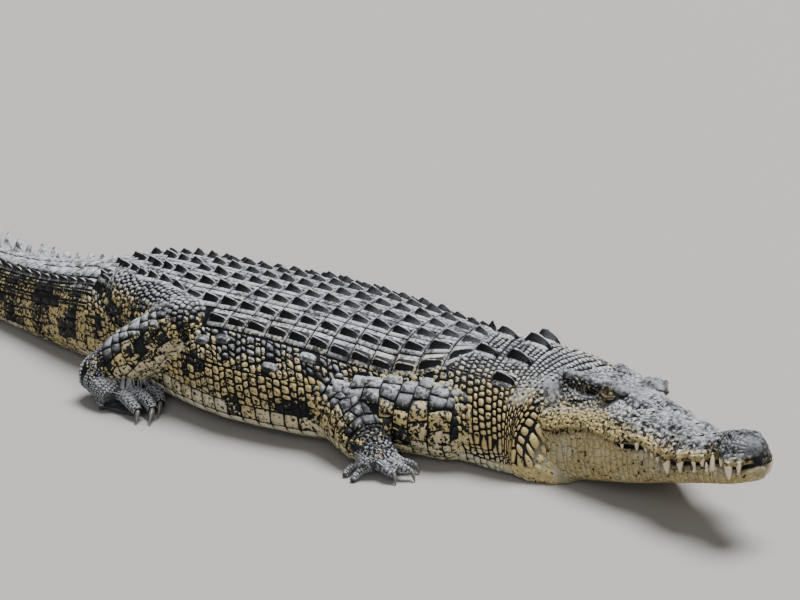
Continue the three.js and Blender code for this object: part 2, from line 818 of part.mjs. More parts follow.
const SIDES = [
  [-1, "right"],
  [1, "left"],
];
const bodyRoom = bodyTube(PART_GAP).add(headRoom);
for (const [side, word] of SIDES) {
  addNode("eye_" + word, ball(eyePoint(side), vec(1, 1, 1).multiplyScalar(EYE_RADIUS)), EYE);
  const hindJoints = side < 0 ? HIND_JOINTS : FAR_HIND_JOINTS;
  const foreleg = makeLeg(SHOULDER_AT, side, FORE_JOINTS, FORE_SIZES, FORE_DIGITS, null);
  const hindleg = makeLeg(HIP_AT, side, hindJoints, HIND_SIZES, HIND_DIGITS, HIND_WEB);
  const legs = [
    [foreleg, "upper_arm", "forearm", "forefoot"],
    [hindleg, "thigh", "shank", "hindfoot"],
  ];
  for (const [leg, upper, lower, foot] of legs) {
    addNode(upper + "_" + word, largest(leg.upper.subtract(bodyRoom)), HIDE);
    addNode(lower + "_" + word, largest(leg.lower.subtract(bodyRoom)), HIDE);
    addNode(foot + "_" + word, largest(leg.foot.subtract(bodyRoom)), HIDE);
    leg.claws.forEach((horn, i) => addNode(foot + "_claw" + (i + 1) + "_" + word, largest(horn), HORN));
  }
}

// The part's origin is the middle of its footprint, on the floor.
const box = new THREE.Box3().setFromObject(animal);
const centre = box.getCenter(vec(0, 0, 0));
animal.position.set(-centre.x, -centre.y, -box.min.z);
const crocodile = new THREE.Group();
crocodile.add(animal);
export default crocodile;
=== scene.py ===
"""A life-size saltwater crocodile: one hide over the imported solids, with its scales, horn, teeth and eyes.

Shapes are worked out in millimetres in the animal's own frame: +X runs forward along the trunk, +Y is
its left and +Z is up from the floor. Stations are distances from the snout along the midline.
"""

import logging
import math
from dataclasses import dataclass, field, replace
from enum import Enum
from itertools import product
from typing import Callable, Iterable, Sequence

import bpy
import numpy as np
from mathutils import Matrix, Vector


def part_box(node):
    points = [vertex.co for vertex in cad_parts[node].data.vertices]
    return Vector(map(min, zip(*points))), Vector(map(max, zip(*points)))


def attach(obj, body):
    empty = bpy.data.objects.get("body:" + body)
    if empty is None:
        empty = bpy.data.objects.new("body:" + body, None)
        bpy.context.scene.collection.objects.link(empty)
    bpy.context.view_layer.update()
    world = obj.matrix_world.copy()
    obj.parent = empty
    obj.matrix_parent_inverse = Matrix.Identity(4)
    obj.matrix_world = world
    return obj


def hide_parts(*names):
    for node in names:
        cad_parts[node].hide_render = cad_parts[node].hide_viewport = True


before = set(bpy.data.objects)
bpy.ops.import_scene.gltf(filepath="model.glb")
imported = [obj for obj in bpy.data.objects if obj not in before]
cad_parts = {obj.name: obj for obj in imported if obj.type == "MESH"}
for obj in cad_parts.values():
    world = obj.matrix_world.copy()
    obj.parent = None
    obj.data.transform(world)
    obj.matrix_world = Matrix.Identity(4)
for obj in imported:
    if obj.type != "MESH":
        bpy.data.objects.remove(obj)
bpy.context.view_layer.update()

Array = np.ndarray
Bound = Callable[[Array], Array]
LOG = logging.getLogger("crocodile")
MM = 0.001
RNG_SEED = 20260
BODY = "root"
HASH_STEPS = (73856093, 19349663, 83492791, 2654435761)
BEYOND = 1e9


class Slot(Enum):
    """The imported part's materials that a piece can stand for."""

    HIDE = "hide"
    EYE = "eye"
    TOOTH = "tooth"
    CLAW = "claw"


# ---------- numbers ----------
def smooth(low: float, high: float, value: Array) -> Array:
    """Rises from 0 to 1 between two values with level ends: t squared times (3 - 2t)."""
    t = np.clip((np.asarray(value, float) - low) / (high - low), 0.0, 1.0)
    return t * t * (3.0 - 2.0 * t)


def mix(a: Array, b: Array, share: Array) -> Array:
    """Goes from a to b as share goes from 0 to 1."""
    return a + (b - a) * share


def even(value: float) -> Bound:
    """A bound or a size that is the same at every place."""
    return lambda place: value + 0.0 * place


def round_turns(count: int) -> Array:
    """Angles once round, the last one short of the first."""
    return np.linspace(0, 2 * math.pi, count, endpoint=False)


def running(steps: Array) -> Array:
    """Running totals along the last axis, starting from 0."""
    return np.concatenate([np.zeros((*steps.shape[:-1], 1)), np.cumsum(steps, axis=-1)], axis=-1)


def find_between(known: Array, wanted: Array) -> tuple[Array, Array]:
    """Where values fall among numbers that rise along the last axis.

    Args:
        known: the rising numbers, (..., n).
        wanted: one value for each row of them, (...).
    Returns:
        The number before each value, and how far it lies towards the next as a share.
    """
    column = np.clip((known < wanted[..., None]).sum(-1) - 1, 0, known.shape[-1] - 2)
    low, high = (np.take_along_axis(known, column[..., None] + i, -1)[..., 0] for i in (0, 1))
    return column, (wanted - low) / np.maximum(high - low, 1e-6)


def turn_about(axis: int, angle: float) -> Array:
    """The matrix of a turn about one direction.

    Args:
        axis: 0, 1 or 2 for x, y or z.
        angle: the turn in radians.
    Returns:
        The matrix, (3, 3).
    """
    first, second = (axis + 1) % 3, (axis + 2) % 3
    matrix = np.eye(3)
    matrix[first, first] = matrix[second, second] = math.cos(angle)
    matrix[second, first] = math.sin(angle)
    matrix[first, second] = -math.sin(angle)
    return matrix


def turned(start: Array, end: Array, angle: Array) -> Array:
    """Directions turned from one direction towards another at right angles to it."""
    return start * np.cos(angle)[..., None] + end * np.sin(angle)[..., None]


def signed_power(value: Array, power: Array) -> Array:
    """Raises a value's size to a power and keeps its sign."""
    return np.sign(value) * np.abs(value) ** power


def unit(vectors: Array) -> Array:
    """Vectors of length one along the last axis."""
    return vectors / np.maximum(np.linalg.norm(vectors, axis=-1, keepdims=True), 1e-9)


class Profile:
    """A smooth curve through (place, value) pairs: monotone cubic, held level beyond its ends."""

    def __init__(self, *pairs: tuple[float, float]) -> None:
        """Works out the tangents: harmonic means of the neighbouring slopes, so it never overshoots."""
        self.x, self.y = np.array(pairs, float).T
        self.h = np.diff(self.x)
        slope = np.diff(self.y) / self.h
        before, after = slope[:-1], slope[1:]
        total = np.where(before + after == 0, 1.0, before + after)
        inner = np.where(before * after > 0, 2 * before * after / total, 0.0)
        self.m = np.concatenate([slope[:1], inner, slope[-1:]])

    def __call__(self, place: Array) -> Array:
        """The curve's value at each place.

        Args:
            place: where along the curve.
        Returns:
            The values, shaped like the places.
        """
        x = np.clip(np.asarray(place, float), self.x[0], self.x[-1])
        i = np.clip(np.searchsorted(self.x, x, side="right") - 1, 0, len(self.h) - 1)
        t = (x - self.x[i]) / self.h[i]
        rise = self.h[i] * t * (1 - t)
        held = self.y[i] * (1 + 2 * t) * (1 - t) ** 2 + self.y[i + 1] * t * t * (3 - 2 * t)
        return held + self.m[i] * rise * (1 - t) - self.m[i + 1] * rise * t


def lattice_value(cell: Array, seed: int) -> Array:
    """A fixed random number for each whole-number cell: an integer hash of its indices.

    Args:
        cell: the cells' indices, (..., 3).
        seed: which set of numbers.
    Returns:
        Numbers from 0 to 1, (...).
    """
    c = cell.astype(np.int64)
    a, b, d, e = HASH_STEPS
    h = (c[..., 0] * a) ^ (c[..., 1] * b) ^ (c[..., 2] * d) ^ (seed * e)
    h = ((h ^ (h >> 13)) * 1274126177) & 0xFFFFFFFF
    h = ((h ^ (h >> 15)) * 2246822519) & 0xFFFFFFFF
    return ((h ^ (h >> 16)) & 0xFFFFFF) / float(0xFFFFFF)


def patches(points: Array, size: float, seed: int, octaves: int = 3) -> Array:
    """Cloudy values from 0 to 1: smoothed lattice noise, each octave half as large and half as strong.

    Args:
        points: places in mm, (..., 3).
        size: the width in mm of the largest patches.
        seed: which pattern.
        octaves: how many finer layers are added.
    Returns:
        One value for each place.
    """
    total = np.zeros(points.shape[:-1])
    weight = 0.0
    corners = np.array(list(product((0, 1), repeat=3)))
    for octave in range(octaves):
        q = points / size * 2.0**octave
        cell = np.floor(q)
        t = smooth(0.0, 1.0, q - cell)
        value = np.zeros(total.shape)
        for corner in corners:
            share = np.prod(np.where(corner == 1, t, 1.0 - t), axis=-1)
            value += share * lattice_value(cell + corner, seed + 17 * octave)
        total += value / 2.0**octave
        weight += 1.0 / 2.0**octave
    return total / weight


def pits(points: Array, size: float, seed: int) -> Array:
    """How far a place is from the nearest of one random point per cell.

    Args:
        points: places in mm, (..., 3).
        size: a cell's width in mm.
        seed: which points.
    Returns:
        Distances in cells: 0 at a point, about 1 between.
    """
    q = points / size
    cell = np.floor(q)
    best = np.full(points.shape[:-1], BEYOND)
    for step in product((-1, 0, 1), repeat=3):
        near = cell + np.array(step)
        seat = np.stack([lattice_value(near, seed + n) for n in range(3)], -1)
        best = np.minimum(best, np.linalg.norm(near + seat - q, axis=-1))
    return best


def to_path(points: Array, path: Sequence[Sequence[float]]) -> Array:
    """The distance from each point to a chain of straight pieces: the least over the pieces.

    Args:
        points: places, (..., n).
        path: the chain's corners in the same directions.
    Returns:
        Distances, (...).
    """
    best = np.full(points.shape[:-1], BEYOND)
    chain = np.array(path, float)
    for a, b in zip(chain[:-1], chain[1:]):
        along = np.clip(((points - a) @ (b - a)) / ((b - a) @ (b - a)), 0.0, 1.0)
        best = np.minimum(best, np.linalg.norm(points - a - along[..., None] * (b - a), axis=-1))
    return best


def hill(distance: Array, radius: float) -> Array:
    """A smooth bump: one at distance 0 and falling as exp(-(distance / radius) squared)."""
    return np.exp(-((distance / radius) ** 2))


# ---------- meshes ----------
def write_mesh(name: str, points: Array, faces: Iterable[Array]) -> bpy.types.Mesh:
    """Puts whole arrays into a new mesh whose faces share their normals.

    Args:
        name: the mesh's name.
        points: corners in mm, (n, 3).
        faces: arrays of corner numbers, each (count, corners per face).
    Returns:
        The mesh, in metres.
    """
    mesh = bpy.data.meshes.new(name)
    groups = [np.asarray(group, np.int32) for group in faces if len(group)]
    sizes = np.concatenate([np.full(len(group), group.shape[1], np.int32) for group in groups])
    loops = np.concatenate([group.ravel() for group in groups])
    mesh.vertices.add(len(points))
    mesh.vertices.foreach_set("co", (np.asarray(points, np.float32) * MM).ravel())
    mesh.loops.add(len(loops))
    mesh.loops.foreach_set("vertex_index", loops)
    mesh.polygons.add(len(sizes))
    mesh.polygons.foreach_set("loop_start", running(sizes)[:-1].astype(np.int32))
    mesh.polygons.foreach_set("use_smooth", np.ones(len(sizes), bool))
    mesh.update(calc_edges=True)
    return mesh


def add_object(name: str, mesh: bpy.types.Mesh) -> bpy.types.Object:
    """Adds a mesh to the scene as an object at the origin.

    Args:
        name: the object's name.
        mesh: its mesh.
    Returns:
        The object.
    """
    piece = bpy.data.objects.new(name, mesh)
    bpy.context.scene.collection.objects.link(piece)
    return piece


def finish_piece(
    piece: bpy.types.Object, material: bpy.types.Material, slot: Slot, stands_for: Sequence[str] = ()
) -> None:
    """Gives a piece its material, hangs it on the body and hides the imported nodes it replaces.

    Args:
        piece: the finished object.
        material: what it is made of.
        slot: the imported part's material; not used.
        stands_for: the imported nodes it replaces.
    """
    piece.data.materials.append(material)
    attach(piece, BODY)
    if stands_for:
        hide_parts(*stands_for)


def corner_values(mesh: bpy.types.Mesh, what: str) -> Array:
    """One vector for each of a mesh's corners.

    Args:
        mesh: the mesh.
        what: "co" for their places or "normal" for their normals.
    Returns:
        The vectors, (n, 3).
    """
    values = np.empty(len(mesh.vertices) * 3, np.float32)
    mesh.vertices.foreach_get(what, values)
    return values.reshape(-1, 3).astype(float)


def mesh_points(mesh: bpy.types.Mesh) -> Array:
    """A mesh's corners in mm, (n, 3)."""
    return corner_values(mesh, "co") / MM


def mesh_normals(mesh: bpy.types.Mesh) -> Array:
    """A mesh's corner normals, (n, 3)."""
    return corner_values(mesh, "normal")


def move_points(mesh: bpy.types.Mesh, points: Array) -> None:
    """Sets a mesh's corners from mm."""
    mesh.vertices.foreach_set("co", (points * MM).astype(np.float32).ravel())
    mesh.update()


def set_colour(mesh: bpy.types.Mesh, name: str, values: Array) -> None:
    """Stores four numbers for each corner as a colour attribute."""
    layer = mesh.color_attributes.new(name, "FLOAT_COLOR", "POINT")
    layer.data.foreach_set("color", np.asarray(values, np.float32).ravel())


def set_uv(mesh: bpy.types.Mesh, name: str, per_corner: Array) -> None:
    """Stores a UV map from one place for each corner of the mesh.

    Args:
        mesh: the mesh.
        name: the map's name.
        per_corner: places from 0 to 1, (n, 2).
    """
    index = np.empty(len(mesh.loops), np.int32)
    mesh.loops.foreach_get("vertex_index", index)
    layer = mesh.uv_layers.new(name=name)
    layer.data.foreach_set("uv", per_corner[index].astype(np.float32).ravel())


@dataclass
class Shells:
    """A growing list of closed shells that are later made into one mesh."""

    points: list[Array] = field(default_factory=list)
    quads: list[Array] = field(default_factory=list)
    fans: list[Array] = field(default_factory=list)
    count: int = 0

    def rings(self, rings: Array, first: Array | None = None, last: Array | None = None) -> None:
        """Adds a closed tube from rings of points, with a fan of triangles to a pole at both ends.

        Args:
            rings: (rows, sides, 3), wound so that side, then row, points outwards.
            first: the pole before the first ring; its middle where none is given.
            last: the pole after the last ring.
        """
        rows, sides = rings.shape[:2]
        poles = [rings[0].mean(0) if first is None else first, rings[-1].mean(0) if last is None else last]
        number = self.count + np.arange(rows * sides).reshape(rows, sides)
        onward = np.roll(number, -1, axis=1)
        quad = np.stack([number[:-1], onward[:-1], onward[1:], number[1:]], -1).reshape(-1, 4)
        pole = self.count + rows * sides
        start = np.stack([np.full(sides, pole), onward[0], number[0]], -1)
        end = np.stack([np.full(sides, pole + 1), number[-1], onward[-1]], -1)
        self.points.append(np.concatenate([rings.reshape(-1, 3), poles]))
        self.quads.append(quad)
        self.fans.extend([start, end])
        self.count += rows * sides + 2

    def mesh(self, name: str) -> bpy.types.Mesh:
        """All shells as one mesh."""
        faces = [np.concatenate(group) for group in (self.quads, self.fans) if group]
        return write_mesh(name, np.concatenate(self.points), faces)


# ---------- the body's form ----------
SHOULDER_AT, HIP_AT = 730.0, 1371.0
TOTAL_LENGTH, TAIL_END, SKULL = 3070.0, 3058.0, 445.0
NECK_FROM, NECK_TO = 376.0, 664.0


class BodyForm:
    """Neck, trunk and tail as one long tube along the spine's line over the floor."""

    HEADINGS = Profile(
        (445, -24), (500, -5), (570, 8), (650, 7), (730, 3), (890, 4), (1100, -1), (1271, -5), (1520, -8),
        (1700, -10), (1900, -20), (2200, -34), (2500, -30), (2800, -14), (3070, 2),
    )
    HALF_WIDTH = Profile(
        (370, 84), (415, 134), (450, 156), (500, 160), (560, 158), (640, 150), (700, 151), (760, 163),
        (840, 186), (930, 205), (1040, 208), (1120, 196), (1200, 173), (1290, 148), (1371, 128),
        (1520, 104), (1620, 88), (1735, 72), (1900, 60), (2295, 38), (2760, 19), (3058, 5),
    )
    BACK_HEIGHT = Profile(
        (370, 22), (415, 62), (450, 132), (500, 165), (590, 180), (775, 203), (1025, 222), (1270, 227),
        (1371, 216), (1460, 192), (1590, 157), (1735, 134), (1900, 120), (2295, 96), (2760, 54), (3058, 14),
    )
    WIDEST_LEVEL = Profile((370, 0.5), (480, 0.42), (900, 0.34), (1270, 0.34), (1580, 0.44), (3070, 0.5))
    TOP_SQUARE = Profile((400, 0.78), (1025, 0.86), (1520, 0.8), (2140, 0.72), (3070, 0.9))
    UNDER_SQUARE = Profile((560, 0.22), (760, 0.46), (1500, 0.6))
    DOME = 0.92
    BELLY_PRESS = 6.0
    ANCHOR = np.array([-730.0, 188.0])
    STEP, GIRTH_STEP, FIND_STEP = 10.0, 6.0, 12.0
    SHARES = np.linspace(0.0, 1.0, 97)

    def __init__(self) -> None:
        """Walks the spine both ways from the shoulder and measures every girth."""
        self.offset = np.zeros(3)
        self.stations = np.arange(0.0, TOTAL_LENGTH + 2 * self.STEP, self.STEP)
        heading = np.radians(self.HEADINGS(self.stations[:-1] + self.STEP / 2))
        strides = self.STEP * np.stack([np.cos(heading), np.sin(heading)], -1)
        walked = np.concatenate([np.zeros((1, 2)), np.cumsum(strides, axis=0)])
        self.line = self.ANCHOR + walked[int(SHOULDER_AT / self.STEP)] - walked
        self.girth_at = np.arange(NECK_FROM, TAIL_END, self.GIRTH_STEP)
        turns = np.linspace(0.0, math.pi, 2 * len(self.SHARES) - 1)
        ring = self.point(self.girth_at[:, None], turns[None, :])
        arcs = running(np.linalg.norm(np.diff(ring, axis=1), axis=2))
        self.half_girth = arcs[:, -1]
        self.turns = np.array([np.interp(self.SHARES, arc / arc[-1], turns) for arc in arcs])

    def midline(self, s: Array) -> tuple[Array, Array, Array]:
        """The spine seen from above.

        Args:
            s: stations from the snout.
        Returns:
            Its places in mm, its left directions and its forward directions, each (..., 2).
        """
        at = np.stack([np.interp(s, self.stations, self.line[:, i]) for i in (0, 1)], -1) + self.offset[:2]
        heading = np.radians(self.HEADINGS(s))
        forward = np.stack([np.cos(heading), np.sin(heading)], -1)
        return at, np.stack([-forward[..., 1], forward[..., 0]], -1), forward

    def point(self, s: Array, turn: Array, swell: float = 0.0) -> Array:
        """A place on the body: an oval section with a rounder top and a belly flattened by the floor.

        Args:
            s: station from the snout.
            turn: 0 on the back, pi under the belly, positive to the left.
            swell: how far outside (or, negative, inside) the body it lies.
        Returns:
            Places in mm.
        """
        s, turn = np.broadcast_arrays(np.asarray(s, float), np.asarray(turn, float))
        at, left, _ = self.midline(s)
        height = self.BACK_HEIGHT(s)
        level = self.WIDEST_LEVEL(s) * height
        across = (self.HALF_WIDTH(s) + swell) * signed_power(np.sin(turn), self.TOP_SQUARE(s))
        lift = np.cos(turn)
        above = level + (height + swell - level) * np.maximum(lift, 0.0) ** self.DOME
        below = level + (level + self.BELLY_PRESS + swell) * signed_power(lift, self.UNDER_SQUARE(s))
        z = np.maximum(np.where(lift > 0, above, below), -swell)
        return np.concatenate([at + left * across[..., None], z[..., None]], -1)

    def half(self, s: Array) -> Array:
        """Half the girth in mm, from the middle of the back to the middle of the belly."""
        return np.interp(s, self.girth_at, self.half_girth)

    def share_at(self, s: Array, turn: Array) -> Array:
        """The share of the half girth at which a turn lies.

        Args:
            s: stations from the snout.
            turn: turns from the back.
        Returns:
            Shares from 0 on the back to 1 under the belly.
        """
        row = ((s - self.girth_at[0]) / self.GIRTH_STEP).round().astype(int)
        row = np.clip(row, 0, len(self.girth_at) - 1)
        column, part = find_between(self.turns[row], np.abs(turn))
        return (column + np.clip(part, 0, 1)) / (len(self.SHARES) - 1.0)

    def spot(self, s: Array, arc: Array) -> Array:
        """A place on the body by distance over the skin.

        Args:
            s: stations from the snout.
            arc: distances in mm from the middle of the back, positive to the left.
        Returns:
            Places in mm, (..., 3).
        """
        s, arc = np.broadcast_arrays(np.asarray(s, float), np.asarray(arc, float))
        share = np.clip(np.abs(arc) / self.half(s), 0.0, 1.0) * (len(self.SHARES) - 1)
        row = np.clip((s - self.girth_at[0]) / self.GIRTH_STEP, 0.0, len(self.girth_at) - 1.001)
        i, j = row.astype(int), np.minimum(share.astype(int), len(self.SHARES) - 2)
        u, v = row - i, share - j
        table = self.turns
        front = mix(table[i, j], table[i, j + 1], v)
        rear = mix(table[i + 1, j], table[i + 1, j + 1], v)
        return self.point(s, np.sign(arc) * mix(front, rear, u))

    def locate(self, points: Array) -> tuple[Array, Array]:
        """Where places near the skin lie on the body: the nearest station, then the turn its section gives.

        Args:
            points: places in mm, (n, 3).
        Returns:
            Their stations and their shares of the half girth, positive to the left.
        """
        flat = points[:, :2]
        stations = np.arange(NECK_FROM, TAIL_END, self.FIND_STEP)
        at, left, forward = self.midline(stations)
        nearest = np.concatenate([
            np.linalg.norm(part[:, None] - at[None], axis=2).argmin(1) for part in np.array_split(flat, 64)
        ])
        away = flat - at[nearest]
        s = stations[nearest] - np.sum(away * forward[nearest], -1)
        across = np.sum(away * left[nearest], -1)
        height = self.BACK_HEIGHT(s)
        level = self.WIDEST_LEVEL(s) * height
        side = signed_power(across / self.HALF_WIDTH(s), 1.0 / self.TOP_SQUARE(s))
        z = points[:, 2]
        rise = np.where(z > level, (z - level) / (height - level), z / level - 1.0)
        turn = np.arctan2(side, np.where(rise < 0, -np.abs(rise) ** (1.0 / self.UNDER_SQUARE(s)), rise))
        return s, np.sign(across) * self.share_at(s, turn)


# ---------- the head's form ----------
@dataclass(frozen=True)
class Tooth:
    """A tooth's place along the head and its length, both as shares of the skull."""

    place: float
    length: float


def teeth_row(*pairs: tuple[float, float]) -> tuple[Tooth, ...]:
    """A row of teeth from their places and lengths."""
    return tuple(Tooth(*pair) for pair in pairs)


def sections(*corners: tuple[Array, Array]) -> Array:
    """Half sections from the sideways and upward places of their corners, (rows, corners, 2)."""
    return np.stack([np.stack(pair, -1) for pair in corners], axis=1)


def rounded(half: Array) -> Array:
    """Whole rounded sections from half sections that run from the top to the bottom."""
    return round_off(np.concatenate([half, half[:, -2:0:-1] * np.array([-1.0, 1.0])], axis=1), 8)


def folded(shares: Array) -> Array:
    """Head shares with the right side laid over the left."""
    return np.stack([shares[..., 0], np.abs(shares[..., 1]), shares[..., 2]], -1)


class HeadForm:
    """Skull and jaw as two lofts. Sizes are shares of the skull: x forward, y left, z up from the jaw."""

    TURN = (-7.0, -14.5, -25.0)
    PLACE = np.array([-445.0, 206.0, -3.0])
    BACK = -0.1
    FRONT = 1.012
    SNOUT_TOP = Profile(
        (-0.1, 0.3), (-0.04, 0.328), (0.02, 0.342), (0.12, 0.34), (0.22, 0.322), (0.3, 0.302), (0.38, 0.276),
        (0.46, 0.246), (0.53, 0.224), (0.6, 0.206), (0.67, 0.188), (0.74, 0.172), (0.79, 0.168), (0.84, 0.18),
        (0.88, 0.192), (0.93, 0.19), (0.97, 0.178), (1, 0.155), (1.015, 0.13),
    )
    TABLE_HALF = Profile(
        (-0.1, 0.125), (0.02, 0.138), (0.2, 0.112), (0.3, 0.092), (0.45, 0.085), (0.6, 0.075), (0.76, 0.07),
        (0.85, 0.05), (0.92, 0.062), (0.97, 0.05), (1, 0.032), (1.015, 0.02),
    )
    LIP_HALF = Profile(
        (-0.1, 0.275), (0, 0.288), (0.08, 0.28), (0.2, 0.252), (0.3, 0.228), (0.4, 0.204), (0.47, 0.192),
        (0.53, 0.166), (0.6, 0.147), (0.66, 0.152), (0.72, 0.156), (0.78, 0.134), (0.825, 0.1), (0.853, 0.072),
        (0.885, 0.094), (0.93, 0.104), (0.955, 0.1), (0.98, 0.078), (1, 0.055), (1.015, 0.034),
    )
    MOUTH_LINE = Profile(
        (-0.1, 0.15), (0.05, 0.155), (0.14, 0.146), (0.22, 0.154), (0.29, 0.158), (0.33, 0.15), (0.39, 0.128),
        (0.43, 0.112), (0.48, 0.106), (0.54, 0.11), (0.58, 0.09), (0.62, 0.068), (0.67, 0.059), (0.72, 0.064),
        (0.78, 0.07), (0.84, 0.077), (0.87, 0.08), (0.92, 0.07), (0.95, 0.066), (0.99, 0.073), (1.015, 0.082),
    )
    MOUTH_GAPE = Profile(
        (0.36, 0.001), (0.44, 0.012), (0.5, 0.02), (0.6, 0.034), (0.7, 0.034), (0.78, 0.036), (0.88, 0.03),
        (0.95, 0.022), (1.01, 0.012),
    )
    JAW_HALF = Profile(
        (-0.1, 0.27), (0, 0.28), (0.1, 0.266), (0.2, 0.238), (0.3, 0.205), (0.4, 0.176), (0.5, 0.146),
        (0.6, 0.122), (0.72, 0.112), (0.8, 0.098), (0.86, 0.094), (0.9, 0.083), (0.95, 0.07), (0.98, 0.054),
        (1, 0.038), (1.012, 0.022),
    )
    JAW_SIDE = ((1.0, 0.25), (0.985, 0.62), (0.86, 0.92))
    JAW_BOTTOM = Profile(
        (-0.1, -0.03), (0.2, -0.045), (0.4, -0.04), (0.6, -0.022), (0.8, -0.006), (0.9, 0), (0.96, 0.012),
        (1, 0.032), (1.012, 0.045),
    )
    UPPER_TEETH = teeth_row(
        (0.976, 0.03), (0.944, 0.053), (0.908, 0.02), (0.812, 0.033), (0.788, 0.032), (0.741, 0.046),
        (0.662, 0.054), (0.608, 0.03), (0.58, 0.036), (0.551, 0.028), (0.519, 0.024), (0.46, 0.014),
    )
    LOWER_TEETH = teeth_row(
        (0.958, 0.012), (0.853, 0.053), (0.825, 0.022), (0.765, 0.024), (0.7, 0.022), (0.535, 0.014),
    )
    EYE_AT = (0.308, 0.116, 0.289)
    KNOB_AT = (0.288, 0.09, 0.286)
    KNOB_SIZE = (0.078, 0.044, 0.054)

    def __init__(self) -> None:
        """Sets the head's turning: about its length, then its nod, then its look to the side."""
        roll, nod, look = (turn_about(axis, math.radians(angle)) for axis, angle in enumerate(self.TURN))
        self.turning = look @ nod @ roll
        self.offset = np.zeros(3)

    def place(self, shares: Array) -> Array:
        """Head shares to places in mm."""
        return np.asarray(shares, float) * SKULL @ self.turning.T + self.PLACE + self.offset

    def shares(self, points: Array) -> Array:
        """Places in mm to head shares."""
        return (points - self.PLACE - self.offset) @ self.turning / SKULL

    def on_side(self, at: tuple[float, float, float], side: int) -> Array:
        """A left place's own place in mm (side 1) or its twin's on the right (side -1)."""
        return self.place(np.array(at) * [1, side, 1])

    def upper_lip(self, x: Array) -> Array:
        """The level of the upper jaw's edge: lower at each large tooth's swelling, higher between them.

        Args:
            x: places along the head.
        Returns:
            Levels as shares of the skull.
        """
        large = [tooth for tooth in self.UPPER_TEETH if tooth.length > 0.025]
        swelling = sum(hill(x - tooth.place, 0.016) for tooth in large)
        fade = smooth(0.42, 0.5, x)
        return self.MOUTH_LINE(x) + self.MOUTH_GAPE(x) / 2 + fade * (0.008 - 0.017 * swelling)

    def lower_lip(self, x: Array) -> Array:
        """The level of the lower jaw's edge."""
        return self.MOUTH_LINE(x) - self.MOUTH_GAPE(x) / 2

    def upper_ring(self, x: Array) -> Array:
        """Half sections of the skull from the middle of its top down to the middle of its palate.

        Args:
            x: places along the head.
        Returns:
            Sideways and upward shares, (rows, corners, 2).
        """
        top, table, lip = self.SNOUT_TOP(x), self.TABLE_HALF(x), self.LIP_HALF(x)
        low = self.upper_lip(x)
        skull = np.clip((0.36 - x) / 0.14, 0, 1)
        shoulder, drop = mix(0.5, 0.28, skull), mix(0.3, 0.5, skull)
        return sections(
            (0 * x, top - 0.004), (table * 0.6, top + 0.004), (table, top - 0.008),
            (mix(table, lip, shoulder), mix(top, low, drop)),
            (mix(table, lip, 0.86), mix(top, low, mix(0.62, 0.7, skull))),
            (lip, mix(top, low, 0.84)), (lip - 0.006, low), (0 * x, low),
        )

    def lower_ring(self, x: Array) -> Array:
        """Half sections of the jaw from the middle of its gum down to the middle of its underside.

        Args:
            x: places along the head.
        Returns:
            Sideways and upward shares, (rows, corners, 2).
        """
        jaw, bottom, high = self.JAW_HALF(x), self.JAW_BOTTOM(x), self.lower_lip(x)
        side = [(jaw * share, mix(high, bottom, drop)) for share, drop in self.JAW_SIDE]
        return sections((0 * x, high), (jaw - 0.006, high), *side, (jaw * 0.5, bottom), (0 * x, bottom))

    def tongue_ring(self, x: Array) -> Array:
        """Half sections of the flesh that fills the mouth between the gums, well inside the tooth rows.

        Args:
            x: places along the head.
        Returns:
            Sideways and upward shares, (rows, corners, 2).
        """
        middle, tall = self.MOUTH_LINE(x), self.MOUTH_GAPE(x) / 2 + 0.012
        narrower = np.minimum(self.LIP_HALF(x), self.JAW_HALF(x))
        wide = np.maximum(narrower - 0.026, 0.004) * smooth(-0.1, 0.3, x)
        return sections(
            (0 * x, middle + tall), (wide, middle + tall), (wide, middle - tall), (0 * x, middle - tall)
        )

    def loft(self, ring: Callable[[Array], Array], swell: float, rows: int = 190) -> Array:
        """A smooth loft of closed rings: each half section is mirrored and rounded, then grown.

        Args:
            ring: the half sections at places along the head.
            swell: how far the surface is moved outwards, in mm.
            rows: how many sections.
        Returns:
            Places in mm, (rows, sides, 3).
        """
        x = self.BACK + (self.FRONT - self.BACK) * np.linspace(0.0, 1.0, rows)
        closed = rounded(ring(x))
        along = unit(np.roll(closed, -1, axis=1) - np.roll(closed, 1, axis=1))
        outward = np.stack([-along[..., 1], along[..., 0]], -1)
        grown = (closed + outward * swell / SKULL)[:, ::-1]
        forward = np.broadcast_to(x[:, None, None], (*grown.shape[:2], 1))
        return self.place(np.concatenate([forward, grown], -1))


TENSION = 0.42


def round_off(rings: Array, steps: int) -> Array:
    """Closed rings drawn as smooth cubic curves through their corner points, with more points between.

    Args:
        rings: (rows, corners, 2).
        steps: how many points each stretch between corners gets.
    Returns:
        (rows, corners * steps, 2).
    """
    t = (np.arange(steps) / steps)[:, None]
    before, here, after, beyond = (np.roll(rings, shift, axis=1)[:, :, None] for shift in (1, 0, -1, -2))
    out, arrive = TENSION * (after - before), TENSION * (beyond - here)
    blend = (
        here * (2 * t**3 - 3 * t**2 + 1) + out * (t**3 - 2 * t**2 + t)
        + after * (3 * t**2 - 2 * t**3) + arrive * (t**3 - t**2)
    )
    return blend.reshape(len(rings), -1, 2)


# ---------- the legs' form ----------
def spline(points: Array, count: int) -> Array:
    """A Catmull-Rom curve through points, its end tangents mirrored from the first and last stretch.

    Args:
        points: what it passes through, (n, 3).
        count: how many places are wanted.
    Returns:
        The places, (count, 3).
    """
    chain = np.concatenate([[2 * points[0] - points[1]], points, [2 * points[-1] - points[-2]]])
    u = np.linspace(0, len(points) - 1, count)
    i = np.minimum(u.astype(int), len(points) - 2)
    t = (u - i)[:, None]
    a, b, c, d = chain[i], chain[i + 1], chain[i + 2], chain[i + 3]
    square, cube = 2 * a - 5 * b + 4 * c - d, 3 * b - a - 3 * c + d
    return 0.5 * (2 * b + (c - a) * t + square * t**2 + cube * t**3)


